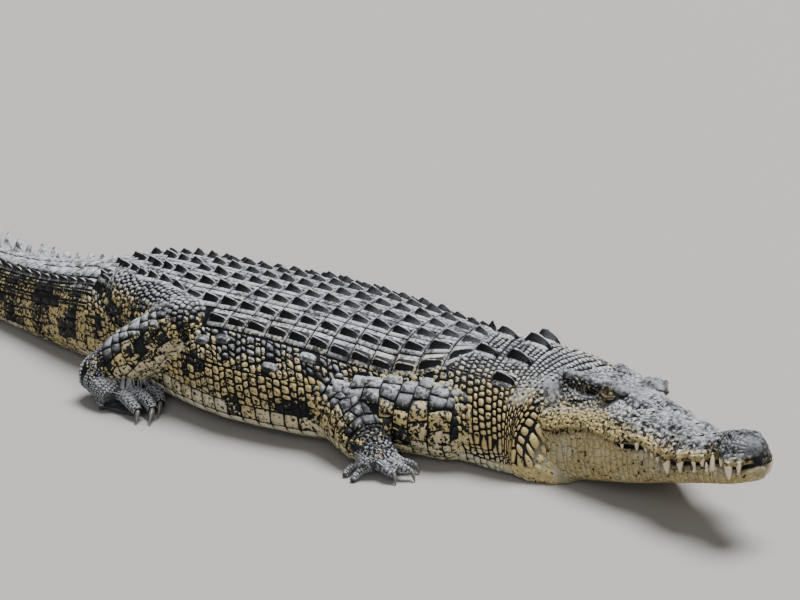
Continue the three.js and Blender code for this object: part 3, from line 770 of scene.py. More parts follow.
class Tube:
    """A limb's length: an oval section carried along a smooth line, domed at both ends."""

    LOOK = 0.03
    DOME_TILTS = (25.0, 50.0, 72.0)
    DOME_HEIGHT = 0.85

    def __init__(self, points: Sequence[Array], sizes: Sequence[Sequence[float]]) -> None:
        """Draws the line and measures it.

        Args:
            points: what the line passes through, in mm.
            sizes: sideways and upright half sizes, spread evenly along it.
        """
        self.line = spline(np.array(points, float), 49)
        steps = np.linalg.norm(np.diff(self.line, axis=0), axis=1)
        self.share = running(steps) / steps.sum()
        self.length = float(steps.sum())
        places = np.linspace(0.0, 1.0, len(sizes))
        self.wide = Profile(*zip(places, [size[0] for size in sizes]))
        self.tall = Profile(*zip(places, [size[1] for size in sizes]))

    def centre(self, along: Array) -> Array:
        """A place on the line at a share of its length."""
        return np.stack([np.interp(along, self.share, self.line[:, i]) for i in range(3)], -1)

    def axes(self, along: Array) -> tuple[Array, Array, Array]:
        """Its directions at a share of the length, forward being measured over a short stretch.

        Args:
            along: shares from 0 to 1.
        Returns:
            The forward, right and up directions, each (..., 3).
        """
        low = np.clip(along - self.LOOK, 0, 1 - 2 * self.LOOK)
        high = np.clip(along + self.LOOK, 2 * self.LOOK, 1)
        forward = unit(self.centre(high) - self.centre(low))
        right = unit(np.cross(forward, np.array([0.0, 0.0, 1.0])))
        return forward, right, np.cross(right, forward)

    def spot(self, along: Array, angle: Array, swell: float = 0.0) -> Array:
        """A place on the tube.

        Args:
            along: share of the length.
            angle: 0 on top, growing to the right of the forward direction.
            swell: how far outside it lies, in mm.
        Returns:
            Places in mm, (..., 3).
        """
        along, angle = np.broadcast_arrays(np.asarray(along, float), np.asarray(angle, float))
        _, right, up = self.axes(along)
        sideways = right * ((self.wide(along) + swell) * np.sin(angle))[..., None]
        upright = up * ((self.tall(along) + swell) * np.cos(angle))[..., None]
        return self.centre(along) + sideways + upright

    def radii_from(self, points: Array) -> Array:
        """How many of its own radii each point lies from the line.

        Args:
            points: places in mm, (n, 3).
        Returns:
            Counts of radii, (n,); very many beyond the line's ends.
        """
        gap = np.linalg.norm(points[:, None] - self.line[None], axis=2)
        along = self.share[gap.argmin(1)]
        forward, right, up = self.axes(along)
        offset = points - self.centre(along)
        sideways = np.sum(offset * right, -1) / self.wide(along)
        upright = np.sum(offset * up, -1) / self.tall(along)
        past = np.abs(np.sum(offset * forward, -1)) > 0.04 * self.length
        return np.where(past, BEYOND, np.hypot(sideways, upright))

    def shell(self, swell: float, rows: int = 24, sides: int = 32) -> tuple[Array, Array, Array]:
        """The closed tube with a dome at both ends.

        Args:
            swell: how far it is moved outwards, in mm.
            rows: rings between its ends.
            sides: corners round it.
        Returns:
            Its rings, (rows, sides, 3), and its first and last pole.
        """
        along = np.linspace(0, 1, rows)
        rings = self.spot(along[:, None], round_turns(sides)[None, :], swell)
        tilt = np.radians(self.DOME_TILTS)[:, None, None]
        domes, poles = [], []
        for share, ring, sign in ((0.0, rings[0], -1.0), (1.0, rings[-1], 1.0)):
            middle = self.centre(np.array(share))
            radius = min(float(self.wide(share)), float(self.tall(share))) + swell
            height = self.axes(np.array(share))[0] * sign * self.DOME_HEIGHT * radius
            domes.append(middle + (ring - middle) * np.cos(tilt) + height * np.sin(tilt))
            poles.append(middle + height)
        return np.concatenate([domes[0][::-1], rings, domes[1]]), *poles


@dataclass(frozen=True)
class Digit:
    """A finger or toe by its joints, in the leg's directions, and its radius."""

    root: tuple[float, float, float]
    knuckle: tuple[float, float, float]
    end: tuple[float, float, float]
    radius: float
    tip: tuple[float, float, float] | None = None


@dataclass(frozen=True)
class LegPlan:
    """A leg's joints in mm forward, outward and up from the midline, with its half sizes."""

    station: float
    root: tuple[float, float, float]
    bend: tuple[float, float, float]
    wrist: tuple[float, float, float]
    palm: tuple[float, float, float]
    upper: tuple[tuple[float, float], ...]
    lower: tuple[tuple[float, float], ...]
    knee: tuple[float, float, float]
    foot: tuple[tuple[float, float], ...]
    digits: tuple[Digit, ...]
    web: tuple[tuple[float, float, float], ...] = ()


FORE_LEG = LegPlan(
    station=SHOULDER_AT, root=(84, 122, 74), bend=(-122, 160, 78), wrist=(-8, 224, 38), palm=(6, 234, 25),
    upper=((52, 68), (54, 64), (46, 60)), lower=((46, 58), (44, 50), (36, 29)), knee=(46, 46, 60),
    foot=((36, 28), (40, 23), (42, 20)),
    digits=(
        Digit((20, 209, 26), (44, 206, 24), (55, 197, 17), 10.5, (63, 199, 0)),
        Digit((22, 228, 26), (48, 232, 24), (62, 225, 17), 11.5, (73, 232, 0)),
        Digit((6, 237, 25), (30, 251, 22), (42, 250, 16), 11.5, (51, 259, 0)),
        Digit((-8, 246, 24), (-15, 262, 15), (-20, 282, 6), 10),
        Digit((-26, 232, 24), (-37, 252, 15), (-42, 271, 6), 9.5),
    ),
)
HIND_DIGITS = (
    Digit((128, 162, 38), (160, 168, 28), (188, 186, 19), 13.5, (208, 214, 0)),
    Digit((130, 192, 38), (174, 208, 29), (202, 220, 20), 15, (219, 248, 0)),
    Digit((118, 224, 36), (156, 232, 28), (184, 239, 19), 14, (196, 258, 0)),
    Digit((64, 232, 30), (84, 236, 22), (96, 246, 7), 10.5),
)
HIND_LEG = LegPlan(
    station=HIP_AT, root=(0, 50, 140), bend=(208, 134, 160), wrist=(48, 204, 50), palm=(108, 202, 32),
    upper=((66, 76), (62, 66), (50, 54)), lower=((48, 56), (48, 54), (42, 38)), knee=(50, 50, 54),
    foot=((44, 34), (52, 30), (54, 22)), digits=HIND_DIGITS,
    web=((96, 172, 16), (166, 174, 12), (180, 214, 11), (160, 240, 11), (90, 246, 9), (66, 232, 12)),
)
FAR_HIND_LEG = replace(
    HIND_LEG,
    root=(0, 50, 120), bend=(196, 142, 92), wrist=(58, 210, 46),
)


class LegForm:
    """One leg as tubes: upper length, lower length, foot and toes, with the places of its claws."""

    FLOOR_PRESS, WEB_THICK = 1.2, 4.5
    TOE_SHARES = ((1.15, 1.0), (1.0, 0.95), (0.8, 0.78))

    def __init__(self, plan: LegPlan, side: int, body: BodyForm) -> None:
        """Sets the joints out from the body's midline.

        Args:
            plan: the leg's joints and sizes.
            side: 1 for the left leg and -1 for the right.
            body: what it stands out from.
        """
        self.plan, self.side, self.body = plan, side, body
        joints = [self.at(joint) for joint in (plan.root, plan.bend, plan.wrist, plan.palm)]
        self.root, self.bend, self.wrist, self.palm = joints
        self.upper = self.length(self.root, self.bend, plan.upper)
        self.lower = self.length(self.bend, self.wrist, plan.lower)
        self.foot = self.length(self.wrist, self.palm, plan.foot)
        self.toes = [self.toe(digit) for digit in plan.digits]
        self.claws = [(self.at(d.end), self.at(d.tip), 0.5 * d.radius) for d in plan.digits if d.tip]

    def at(self, joint: Sequence[float]) -> Array:
        """A joint's place.

        Args:
            joint: mm forward, outward and up from the midline at the plan's station.
        Returns:
            The place in mm.
        """
        middle, left, forward = self.body.midline(np.array(self.plan.station))
        flat = middle + forward * joint[0] + left * self.side * joint[1]
        return np.array([flat[0], flat[1], joint[2] - self.FLOOR_PRESS])

    @staticmethod
    def length(start: Array, end: Array, sizes: Sequence[Sequence[float]]) -> Tube:
        """A straight length between two joints."""
        return Tube([start, (start + end) / 2, end], sizes)

    def toe(self, digit: Digit) -> Tube:
        """A toe from inside the palm over its knuckle to its end.

        Args:
            digit: its joints and radius.
        Returns:
            The toe's length.
        """
        sizes = [(wide * digit.radius, tall * digit.radius) for wide, tall in self.TOE_SHARES]
        start = (self.palm + self.at(digit.root)) / 2
        return Tube([start, self.at(digit.knuckle), self.at(digit.end)], sizes)

    def add_to(self, shells: Shells, swell: float) -> None:
        """Adds the whole leg to a list of shells.

        Args:
            shells: what to add to.
            swell: how far it is moved outwards, in mm.
        """
        for tube in (self.upper, self.lower, self.foot, *self.toes):
            shells.rings(*tube.shell(swell))
        shells.rings(*ball_rings(self.bend, np.array(self.plan.knee) + swell))
        if self.plan.web:
            corners = np.array([self.at(corner) for corner in self.plan.web])
            if self.side > 0:
                corners = corners[::-1]
            shells.rings(np.stack([corners - [0, 0, self.WEB_THICK], corners]))


def ball_rings(centre: Array, radii: Array, turning: Array | None = None) -> tuple[Array, Array, Array]:
    """An egg shape from its lowest pole to its top.

    Args:
        centre: its middle in mm.
        radii: its three half sizes.
        turning: the matrix that turns it, none for an upright one.
    Returns:
        Its rings, (rows, sides, 3), and its lower and upper pole.
    """
    turning = np.eye(3) if turning is None else turning
    tilt = np.radians(np.linspace(-80, 80, 13))[:, None]
    angle = round_turns(32)[None, :]
    flat = np.cos(tilt)
    ball = np.stack([flat * np.cos(angle), flat * np.sin(angle), np.sin(tilt) + 0 * angle], -1)
    poles = np.array([[0.0, 0.0, -1.0], [0.0, 0.0, 1.0]])
    return tuple(centre + (shape * radii) @ turning.T for shape in (ball, *poles))


# ---------- the whole animal's form ----------
class Animal:
    """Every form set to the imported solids' place, shared by the hide, the scales and the horn."""

    HEAD_THINNER, SOCKET = 0.8, 16.4

    def __init__(self) -> None:
        """Finds the shift between the animal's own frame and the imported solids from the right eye."""
        self.body, self.head = BodyForm(), HeadForm()
        low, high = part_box("eye_right")
        eye = np.array((low + high) / 2) / MM
        self.shift = (eye - self.head.on_side(HeadForm.EYE_AT, -1)) * [1, 1, 0]
        self.body.offset = self.head.offset = self.shift
        self.legs = {
            "fore_right": LegForm(FORE_LEG, -1, self.body),
            "fore_left": LegForm(FORE_LEG, 1, self.body),
            "hind_right": LegForm(HIND_LEG, -1, self.body),
            "hind_left": LegForm(FAR_HIND_LEG, 1, self.body),
        }
        self.eyes = [Eye(self, side) for side in (-1, 1)]
        LOG.info("shift %s", self.shift.round(2))

    def shells(self, swell: float) -> Shells:
        """All the flesh as closed shells; the head's hide is the thinner one.

        Args:
            swell: how far they are moved outwards, in mm.
        Returns:
            The shells.
        """
        shells = Shells()
        stations = np.arange(NECK_FROM, TAIL_END + 1, BodyForm.GIRTH_STEP)
        shells.rings(self.body.point(stations[:, None], round_turns(96)[None, :], swell))
        for ring in (self.head.upper_ring, self.head.lower_ring):
            shells.rings(self.head.loft(ring, swell + self.HEAD_THINNER))
        shells.rings(self.head.loft(self.head.tongue_ring, 0.0, 90))
        knob = np.array(HeadForm.KNOB_SIZE) * SKULL + swell
        for side in (-1, 1):
            shells.rings(*ball_rings(self.head.on_side(HeadForm.KNOB_AT, side), knob, self.head.turning))
            shells.rings(*ball_rings(self.head.on_side(HeadForm.EYE_AT, side), np.full(3, self.SOCKET)))
        for leg in self.legs.values():
            leg.add_to(shells, swell)
        return shells


# ---------- markings ----------
class Markings:
    """How pale, how cream and how dusty (with a painted sheen) the animal is at a place; the hide and its scales
    share this.
    """

    PALE_FROM = Profile(
        (445, 0.24), (560, 0.25), (650, 0.28), (730, 0.34), (900, 0.37), (1300, 0.37), (1450, 0.34),
        (1600, 0.24), (2200, 0.18), (3070, 0.12),
    )
    HEAD_LINE = Profile(
        (-0.1, 0.56), (0.2, 0.6), (0.36, 0.56), (0.5, 0.62), (0.8, 0.6), (0.9, 0.3), (1, 0.16),
    )
    CREAM_FROM = Profile((445, 0.6), (650, 0.58), (760, 0.58), (1300, 0.58), (1500, 0.68), (3070, 0.85))
    BAND = Profile((1400, 120), (2200, 100), (3070, 84))

    def __init__(self, animal: Animal) -> None:
        """Keeps the forms the markings are laid out on."""
        self.animal = animal

    def body(self, points: Array, s: Array, share: Array) -> Array:
        """Neck, trunk and tail: dark above a ragged line, blotched tan below it, cream underneath.

        Args:
            points: places in mm.
            s: their stations.
            share: their signed share of the half girth.
        Returns:
            Pale, cream, and dust with painted sheen, from 0 to 1, (n, 3).
        """
        q = np.abs(share)
        cloud, grain = patches(points, 60, 3) - 0.5, patches(points, 17, 9, 2) - 0.5
        line = self.PALE_FROM(s)
        low = q - line + 0.2 * cloud + 0.12 * grain
        # three overlapping steps from the dark back to the tan flank
        pale = 0.2 * smooth(-0.3, -0.1, low) + 0.26 * smooth(-0.16, -0.02, low)
        pale += 0.22 * smooth(-0.03, 0.1, low)
        # black blotches on the flank, fewer on the neck
        blotch = smooth(0.05, 0.12, patches(points, 36, 21) - 0.5 + 0.2 * grain) * smooth(0.74, 0.6, q)
        neck = smooth(740, 640, s)
        pale *= 1 - blotch * (0.9 - 0.7 * neck)
        pale += 0.24 * neck * smooth(0.0, 0.12, low)
        # cross bands on the tail
        phase = 2 * math.pi * (s - 1400) / self.BAND(s) + 4 * cloud
        bands = smooth(-0.5, 0.5, np.sin(phase) + 0.9 * grain)
        pale *= mix(1.0, mix(0.4, 0.8, bands), smooth(1440, 1560, s) * smooth(0.98, 0.8, q))
        cream = smooth(-0.05, 0.06, q - self.CREAM_FROM(s) + 0.16 * cloud)
        pale = np.maximum(pale, cream * mix(0.97, 0.8, smooth(1440, 1560, s)))
        # dust with a painted sheen of the overhead light, on the back above the pale line
        dust_and_sheen = 0.85 * smooth(0.1, -0.1, q - line + 0.12 * grain) * mix(0.8, 1.0, cloud + 0.5)
        return np.stack([pale, cream, dust_and_sheen], -1)

    def leg(self, points: Array, low: Array) -> Array:
        """A leg: black with tan spots above, paler where it is low or turned to the ground.

        Args:
            points: places in mm.
            low: 0 on top of the leg to 1 underneath.
        Returns:
            Pale, cream, and dust with painted sheen, (n, 3).
        """
        cloud, grain = patches(points, 42, 31) - 0.5, patches(points, 15, 37, 2) - 0.5
        spots = 0.5 * smooth(-0.12, 0.08, grain + 0.8 * cloud)
        behind = smooth(200, 0, points[:, 0])
        under = smooth(0.5, 0.7, low - 0.16 * behind + 0.3 * cloud + 0.15 * grain)
        down = smooth(125, 75, points[:, 2])
        pale = np.maximum(spots * smooth(0.04, 0.3, low + 0.12 * down), 0.68 * under)
        # dust with a painted sheen, strongest on the leg's top where the overhead light falls, less near the
        # floor
        dust_and_sheen = smooth(0.4, 0.06, low) * (0.62 + 0.6 * cloud) * (1 - 0.72 * down)
        return np.stack([pale, under * 0.5, np.clip(dust_and_sheen, 0, 1)], -1)

    @staticmethod
    def foot(points: Array) -> Array:
        """A foot or toe: grey and dusty all over, with a few pale flecks.

        Args:
            points: places in mm.
        Returns:
            Pale, cream, and dust with painted sheen, (n, 3).
        """
        flecks = 0.02 + 0.16 * smooth(0.0, 0.25, patches(points, 14, 41, 2) - 0.5)
        return np.stack([flecks, np.full(len(points), 0.9), np.full(len(points), 1.2)], -1)

    def head(self, points: Array) -> Array:
        """The head: grey above and dusty with a painted sheen, tan along the lips and jaw, slate at the nose.

        Args:
            points: places in mm.
        Returns:
            Pale, cream, and dust with painted sheen, (n, 3).
        """
        h = self.animal.head.shares(points)
        x, z = h[:, 0], h[:, 2]
        head = self.animal.head
        cloud, grain = patches(points, 38, 51) - 0.5, patches(points, 12, 57, 2) - 0.5
        rise = (z - head.MOUTH_LINE(x)) / (head.SNOUT_TOP(x) - head.MOUTH_LINE(x))
        low = rise - self.HEAD_LINE(x) + 0.35 * cloud + 0.25 * grain
        pale = 0.26 * smooth(0.6, 0.1, low) + 0.37 * smooth(0.2, -0.25, low)
        slate = 0.5 * smooth(0.845, 0.9, x) * smooth(-0.02, 0.14, rise - 0.34 + 0.5 * grain + 0.3 * cloud)
        pale *= 1 - 0.85 * slate
        jaw = smooth(0.02, -0.1, rise)
        pale = mix(pale, 0.84 + 0.34 * cloud, jaw)
        cream = np.clip(jaw * 0.5 * smooth(-0.1, 0.3, cloud), 0, 1)
        # dust with a painted sheen above, less on the slate nose, some on the jaw
        dust_and_sheen = smooth(-0.35, 0.25, low) * (1 - 0.75 * slate) * (0.72 + 0.7 * cloud) + 0.4 * jaw
        return np.stack([pale, cream, np.clip(dust_and_sheen, 0, 0.7)], -1)

    def anywhere(self, points: Array, normals: Array) -> Array:
        """The marking at places whose part isn't known: the nearest form decides.

        Args:
            points: places in mm.
            normals: the surface's directions there.
        Returns:
            Pale, cream, dust with painted sheen, and the strength of the painted groove shade, (n, 4).
        """
        s, share = self.animal.body.locate(points)
        colour = self.body(points, s, share)
        low = np.clip(0.5 - 0.5 * normals[:, 2], 0, 1)
        leg = self.leg(points, low)
        legs = self.animal.legs.values()
        near = np.min([self.nearness(form, points) for form in legs], axis=0)
        colour = mix(colour, leg, smooth(1.3, 1.05, near)[:, None])
        palm = np.min([np.linalg.norm(points - form.palm, axis=1) for form in legs], axis=0)
        on_foot = smooth(100, 70, palm) * smooth(75, 55, points[:, 2])
        colour = mix(colour, self.foot(points), on_foot[:, None])
        ahead, _, tall = self.animal.head.shares(points).T
        on_head = smooth(-0.09, -0.04, ahead) * (s < 620)
        colour = mix(colour, self.head(points), on_head[:, None])
        below = smooth(0.0, -0.02, tall - self.animal.head.MOUTH_LINE(ahead))
        high = smooth(0.22, 0.26, tall)
        nape = mix(smooth(0.05, 0.11, ahead), smooth(-0.01, 0.03, ahead), high)
        # how strongly the near-black painted shade shows on the hide between the scales: weaker on the head and
        # feet, less where the throat rests, strongest in the head's hollows
        groove_shade = mix(0.9 - 0.2 * on_foot, mix(0.9, mix(0.57, 0.6, below), nape), on_head)
        rest = smooth(34, 22, points[:, 2]) * smooth(-0.1, -0.06, ahead) * smooth(0.16, 0.1, ahead)
        groove_shade = mix(groove_shade, 0.58, smooth(0.94, 0.96, ahead))
        groove_shade = mix(groove_shade, 0.35, rest)
        groove_shade = np.maximum(groove_shade, self.cavity_shade(points) * on_head)
        return np.concatenate([colour, groove_shade[:, None]], 1)

    def cavity_shade(self, points: Array) -> Array:
        """How deep in the mouth's gap, a furrow or a pock of the head a place lies, used as the strength of
        painted shade there.

        Args:
            points: places in mm.
        Returns:
            Depths from 0 to 1, (n,).
        """
        side = folded(self.animal.head.shares(points))
        ahead, out, tall = side.T
        over_mouth = tall - HeadForm.MOUTH_LINE(ahead)
        sunk_shade = np.max([
            min(1.0, -mark.height / 6) * hill(to_path(side, mark.path), mark.radius * 0.5)
            for mark in HEAD_MARKS if mark.height < 0
        ], axis=0)
        snout = smooth(0.34, 0.42, ahead) * smooth(0.99, 0.95, ahead)
        pocks = smooth(0.46, 0.3, pits(points, PIT_MM, PIT_SEED)) * snout * smooth(0.03, 0.06, over_mouth)
        gape = smooth(0.008, -0.002, np.abs(over_mouth) - 0.006) * smooth(0.36, 0.42, ahead)
        inside = out < HeadForm.LIP_HALF(ahead) - 0.012
        return np.maximum(np.maximum(sunk_shade, 0.72 * pocks), 0.9 * gape * inside)

    @staticmethod
    def nearness(leg: LegForm, points: Array) -> Array:
        """How many radii a place is from a leg's lines; the part that lies inside the trunk is left out.

        Args:
            leg: the leg.
            points: places in mm.
        Returns:
            Counts of radii, (n,).
        """
        measure = []
        for tube in (leg.upper, leg.lower, leg.foot, *leg.toes):
            line = tube.line[18::6] if tube is leg.upper else tube.line[::6]
            measure.append(to_path(points, line) / (0.5 * float(tube.wide(0.5) + tube.tall(0.5))))
        return np.min(measure, axis=0)


# ---------- the hide ----------
@dataclass(frozen=True)
class HeadMark:
    """A ridge (positive) or furrow (negative) drawn on both sides of the head along a chain of places."""

    path: tuple[tuple[float, float, float], ...]
    height: float
    radius: float


PIT_MM, PIT_SEED = 15.0, 71
EAR = ((0.09, 0.128, 0.306), (0.146, 0.132, 0.285), (0.198, 0.125, 0.284), (0.27, 0.14, 0.296))
HEAD_MARKS = (
    HeadMark(((0.025, 0.122, 0.33), (0.07, 0.126, 0.345)), 8.0, 0.03),
    HeadMark(((-0.02, 0.26, 0.19), (0.03, 0.262, 0.2), (0.085, 0.25, 0.212)), 5.0, 0.03),
    HeadMark(((0.0, 0.126, 0.325), (0.069, 0.128, 0.345), (0.11, 0.112, 0.34), (0.158, 0.11, 0.33),
              (0.21, 0.112, 0.322), (0.25, 0.116, 0.32)), 9.0, 0.019),
    HeadMark(EAR, -9.0, 0.0095),
    HeadMark(
        ((0.074, 0.16, 0.264), (0.137, 0.15, 0.264), (0.181, 0.14, 0.27), (0.23, 0.146, 0.277)), 3.5, 0.014,
    ),
    HeadMark(
        ((0.29, 0.13, 0.319), (0.306, 0.107, 0.326), (0.338, 0.096, 0.31), (0.352, 0.073, 0.285)), 3.5, 0.012,
    ),
    HeadMark(((0.352, 0.089, 0.288), (0.389, 0.065, 0.262), (0.428, 0.05, 0.248), (0.458, 0.04, 0.238),
              (0.51, 0.035, 0.222), (0.6, 0.03, 0.206)), 6.0, 0.014),
    HeadMark(((0.369, 0.108, 0.25), (0.4, 0.09, 0.25), (0.44, 0.08, 0.235)), -3.0, 0.016),
    HeadMark(
        ((0.114, 0.174, 0.244), (0.16, 0.162, 0.243), (0.199, 0.153, 0.251), (0.252, 0.15, 0.255)), -4.0, 0.009,
    ),
    HeadMark(
        ((0.242, 0.183, 0.208), (0.289, 0.165, 0.222), (0.396, 0.158, 0.194), (0.476, 0.131, 0.181)), 3.0, 0.013,
    ),
    HeadMark(((0.085, 0.276, 0.193), (0.115, 0.254, 0.208), (0.157, 0.226, 0.216), (0.22, 0.215, 0.203),
              (0.283, 0.215, 0.183), (0.344, 0.208, 0.16)), 4.0, 0.015),
    HeadMark(((0.02, 0.28, 0.15), (0.08, 0.275, 0.148), (0.137, 0.26, 0.144), (0.224, 0.243, 0.154),
              (0.286, 0.225, 0.16), (0.33, 0.215, 0.15), (0.37, 0.21, 0.138)), -6.0, 0.0075),
    HeadMark(
        ((0.885, 0.034, 0.192), (0.905, 0.042, 0.19), (0.93, 0.04, 0.188), (0.948, 0.026, 0.184)), -8.0, 0.009,
    ),
    HeadMark(((0.88, 0.045, 0.188), (0.905, 0.056, 0.183), (0.94, 0.052, 0.18)), 2.5, 0.012),
    HeadMark(((0.9, 0.018, 0.195), (0.925, 0.018, 0.193)), 2.0, 0.014),
)


class Hide:
    """The one hide under everything: merged from the forms, eased where limbs join and folded."""

    DEPTH = 2.4
    VOXEL = 2.7
    FACES = 190_000
    FLOOR_GAP = 0.5
    EASE_STEPS, EVEN_STEPS = 34, 2
    JOWL = ((384, 100), (392, 105), (412, 116), (428, 129), (440, 150), (452, 200))

    def __init__(self, animal: Animal, markings: Markings) -> None:
        """Keeps the forms and the markings."""
        self.animal, self.markings = animal, markings

    def build(self) -> bpy.types.Object:
        """Makes the hide.

        Returns:
            The finished object, with its marking stored on it.
        """
        rough = add_object("rough", self.animal.shells(-self.DEPTH).mesh("rough"))
        merge = rough.modifiers.new("merge", "REMESH")
        merge.mode, merge.voxel_size, merge.use_smooth_shade = "VOXEL", self.VOXEL * MM, True
        mesh = self.evaluated(rough, "hide")
        LOG.info("hide merged: %d corners", len(mesh.vertices))
        points = self.relax(mesh, mesh_points(mesh))
        move_points(mesh, points)
        points = self.carve(points, mesh_normals(mesh))
        for eye in self.animal.eyes:
            points = eye.hollow(points)
        points[:, 2] = np.maximum(points[:, 2], self.FLOOR_GAP)
        move_points(mesh, points)
        fine = add_object("fine", mesh)
        thin = fine.modifiers.new("thin", "DECIMATE")
        thin.ratio = min(1.0, self.FACES / (2.0 * len(mesh.polygons)))
        hide = add_object("hide", self.evaluated(fine, "hide_thin"))
        for spent in (rough, fine):
            bpy.data.objects.remove(spent)
        final = hide.data
        final.polygons.foreach_set("use_smooth", np.ones(len(final.polygons), bool))
        colour = self.markings.anywhere(mesh_points(final), mesh_normals(final))
        set_colour(final, "marking", colour)
        LOG.info("hide: %d faces", len(final.polygons))
        return hide

    @staticmethod
    def evaluated(piece: bpy.types.Object, name: str) -> bpy.types.Mesh:
        """A piece's mesh with its modifiers worked out.

        Args:
            piece: the object.
            name: the new mesh's name.
        Returns:
            The mesh.
        """
        shaped = piece.evaluated_get(bpy.context.evaluated_depsgraph_get())
        mesh = bpy.data.meshes.new_from_object(shaped)
        mesh.name = name
        return mesh

    def relax(self, mesh: bpy.types.Mesh, points: Array) -> Array:
        """Moves each corner towards the middle of its neighbours, strongly where a limb joins the trunk.

        Args:
            mesh: the mesh whose edges join the corners.
            points: the corners in mm, (n, 3).
        Returns:
            The eased corners in mm, (n, 3).
        """
        pairs = np.empty(len(mesh.edges) * 2, np.int32)
        mesh.edges.foreach_get("vertices", pairs)
        start, end = pairs.reshape(-1, 2).T
        count = len(points)
        degree = np.bincount(start, minlength=count) + np.bincount(end, minlength=count)
        place = self.animal.head.place
        nape, nose = place((-0.1, 0.0, 0.2)), place((0.97, 0.0, 0.16))
        seats = [(nape, (1, 0.5, 0.5), 60, 1.0), (nose, (1, 1, 1), 56, 0.6)]
        for leg in self.animal.legs.values():
            seats += [(leg.root, (1, 1, 1), 120, 1.0), (leg.bend, (1, 1, 1), 60, 0.5)]
        ease = np.max([
            strength * hill(np.linalg.norm((points - seat) * stretch, axis=1), radius)
            for seat, stretch, radius, strength in seats
        ], axis=0)
        for step in range(self.EASE_STEPS):
            weight = (np.maximum(ease, 0.5) if step < self.EVEN_STEPS else ease)[:, None]
            total = np.stack([
                np.bincount(start, points[end, i], count) + np.bincount(end, points[start, i], count)
                for i in range(3)
            ], -1)
            points = points + weight * 0.6 * (total / degree[:, None] - points)
        return points

    def carve(self, points: Array, normals: Array) -> Array:
        """Raises ridges and sinks furrows, wrinkles and pits along the surface's directions.

        Args:
            points: corners in mm, (n, 3).
            normals: their directions, (n, 3).
        Returns:
            The moved corners in mm, (n, 3).
        """
        rise = np.zeros(len(points))
        h = self.animal.head.shares(points)
        on_head = np.flatnonzero((h[:, 0] > -0.14) & (np.abs(h[:, 1]) < 0.34) & (h[:, 2] > -0.1))
        rise[on_head] += self.carve_head(h[on_head], points[on_head])
        for leg in self.animal.legs.values():
            rise += self.creases(leg, points)
        s, share = self.animal.body.locate(points)
        arc = np.abs(share) * self.animal.body.half(s)
        rise -= 5.0 * hill(to_path(np.stack([s, arc], -1), self.JOWL), 7) * (h[:, 0] < 0.05)
        return points + normals * rise[:, None]

    def carve_head(self, h: Array, points: Array) -> Array:
        """The head's relief: ridges, ear, lids, lips, nostrils and the pitted snout.

        Args:
            h: head shares, (n, 3).
            points: the same places in mm.
        Returns:
            Heights in mm, (n,).
        """
        side = folded(h)
        ahead, out, tall = side.T
        rise = sum(mark.height * hill(to_path(side, mark.path), mark.radius) for mark in HEAD_MARKS)
        lip = self.animal.head.upper_lip(ahead)
        for tooth in HeadForm.UPPER_TEETH:
            outer = float(HeadForm.LIP_HALF(tooth.place))
            bulge = np.stack([ahead - tooth.place, (out - outer) * 0.5, (tall - lip - 0.012) * 0.6], -1)
            rise = rise + 120 * tooth.length * hill(np.linalg.norm(bulge, axis=1), 0.013)
        snout = smooth(0.34, 0.42, ahead) * smooth(0.92, 0.86, ahead)
        above = smooth(0.35, 0.6, (tall - lip) / (HeadForm.SNOUT_TOP(ahead) - lip))
        rugose = (pits(points, PIT_MM, PIT_SEED) - 0.5) * 7.0 + (patches(points, 26, 73) - 0.5) * 9.0
        table = smooth(0.3, 0.2, ahead) * smooth(0.09, 0.06, out) * smooth(0.28, 0.3, tall)
        dimples = (pits(points, 17, 79) - 0.5) * 2.0 - 1.5
        cheek = smooth(0.38, 0.3, ahead) * smooth(0.16, 0.18, tall) * smooth(0.3, 0.26, tall)
        folds = (patches(points, 13, 83, 2) - 0.5) * 3.0
        return rise + snout * above * rugose + table * dimples + cheek * folds

    @staticmethod
    def creases(leg: LegForm, points: Array) -> Array:
        """Folds round the wrist and the bend.

        Args:
            leg: the leg.
            points: places in mm.
        Returns:
            Heights in mm, nought or below, (n,).
        """
        folds = np.zeros(len(points))
        for joint, depth, radius, pitch in ((leg.wrist, 2.2, 48, 13.0), (leg.bend, 1.6, 60, 17.0)):
            away = np.linalg.norm(points - joint, axis=1)
            folds -= depth * hill(away, radius) * (0.5 + 0.5 * np.cos(2 * math.pi * away / pitch))
        return folds


# ---------- finishes ----------
def linear(code: str) -> tuple[float, float, float, float]:
    """An sRGB hex colour as linear light: each channel undone from the sRGB curve.

    Args:
        code: "#rrggbb".
    Returns:
        Red, green, blue and full opacity.
    """
    parts = [int(code[i : i + 2], 16) / 255 for i in (1, 3, 5)]
    red, green, blue = (c / 12.92 if c <= 0.04045 else ((c + 0.055) / 1.055) ** 2.4 for c in parts)
    return red, green, blue, 1.0


Socket = bpy.types.NodeSocket
Operand = Socket | float | str | tuple[float, ...]


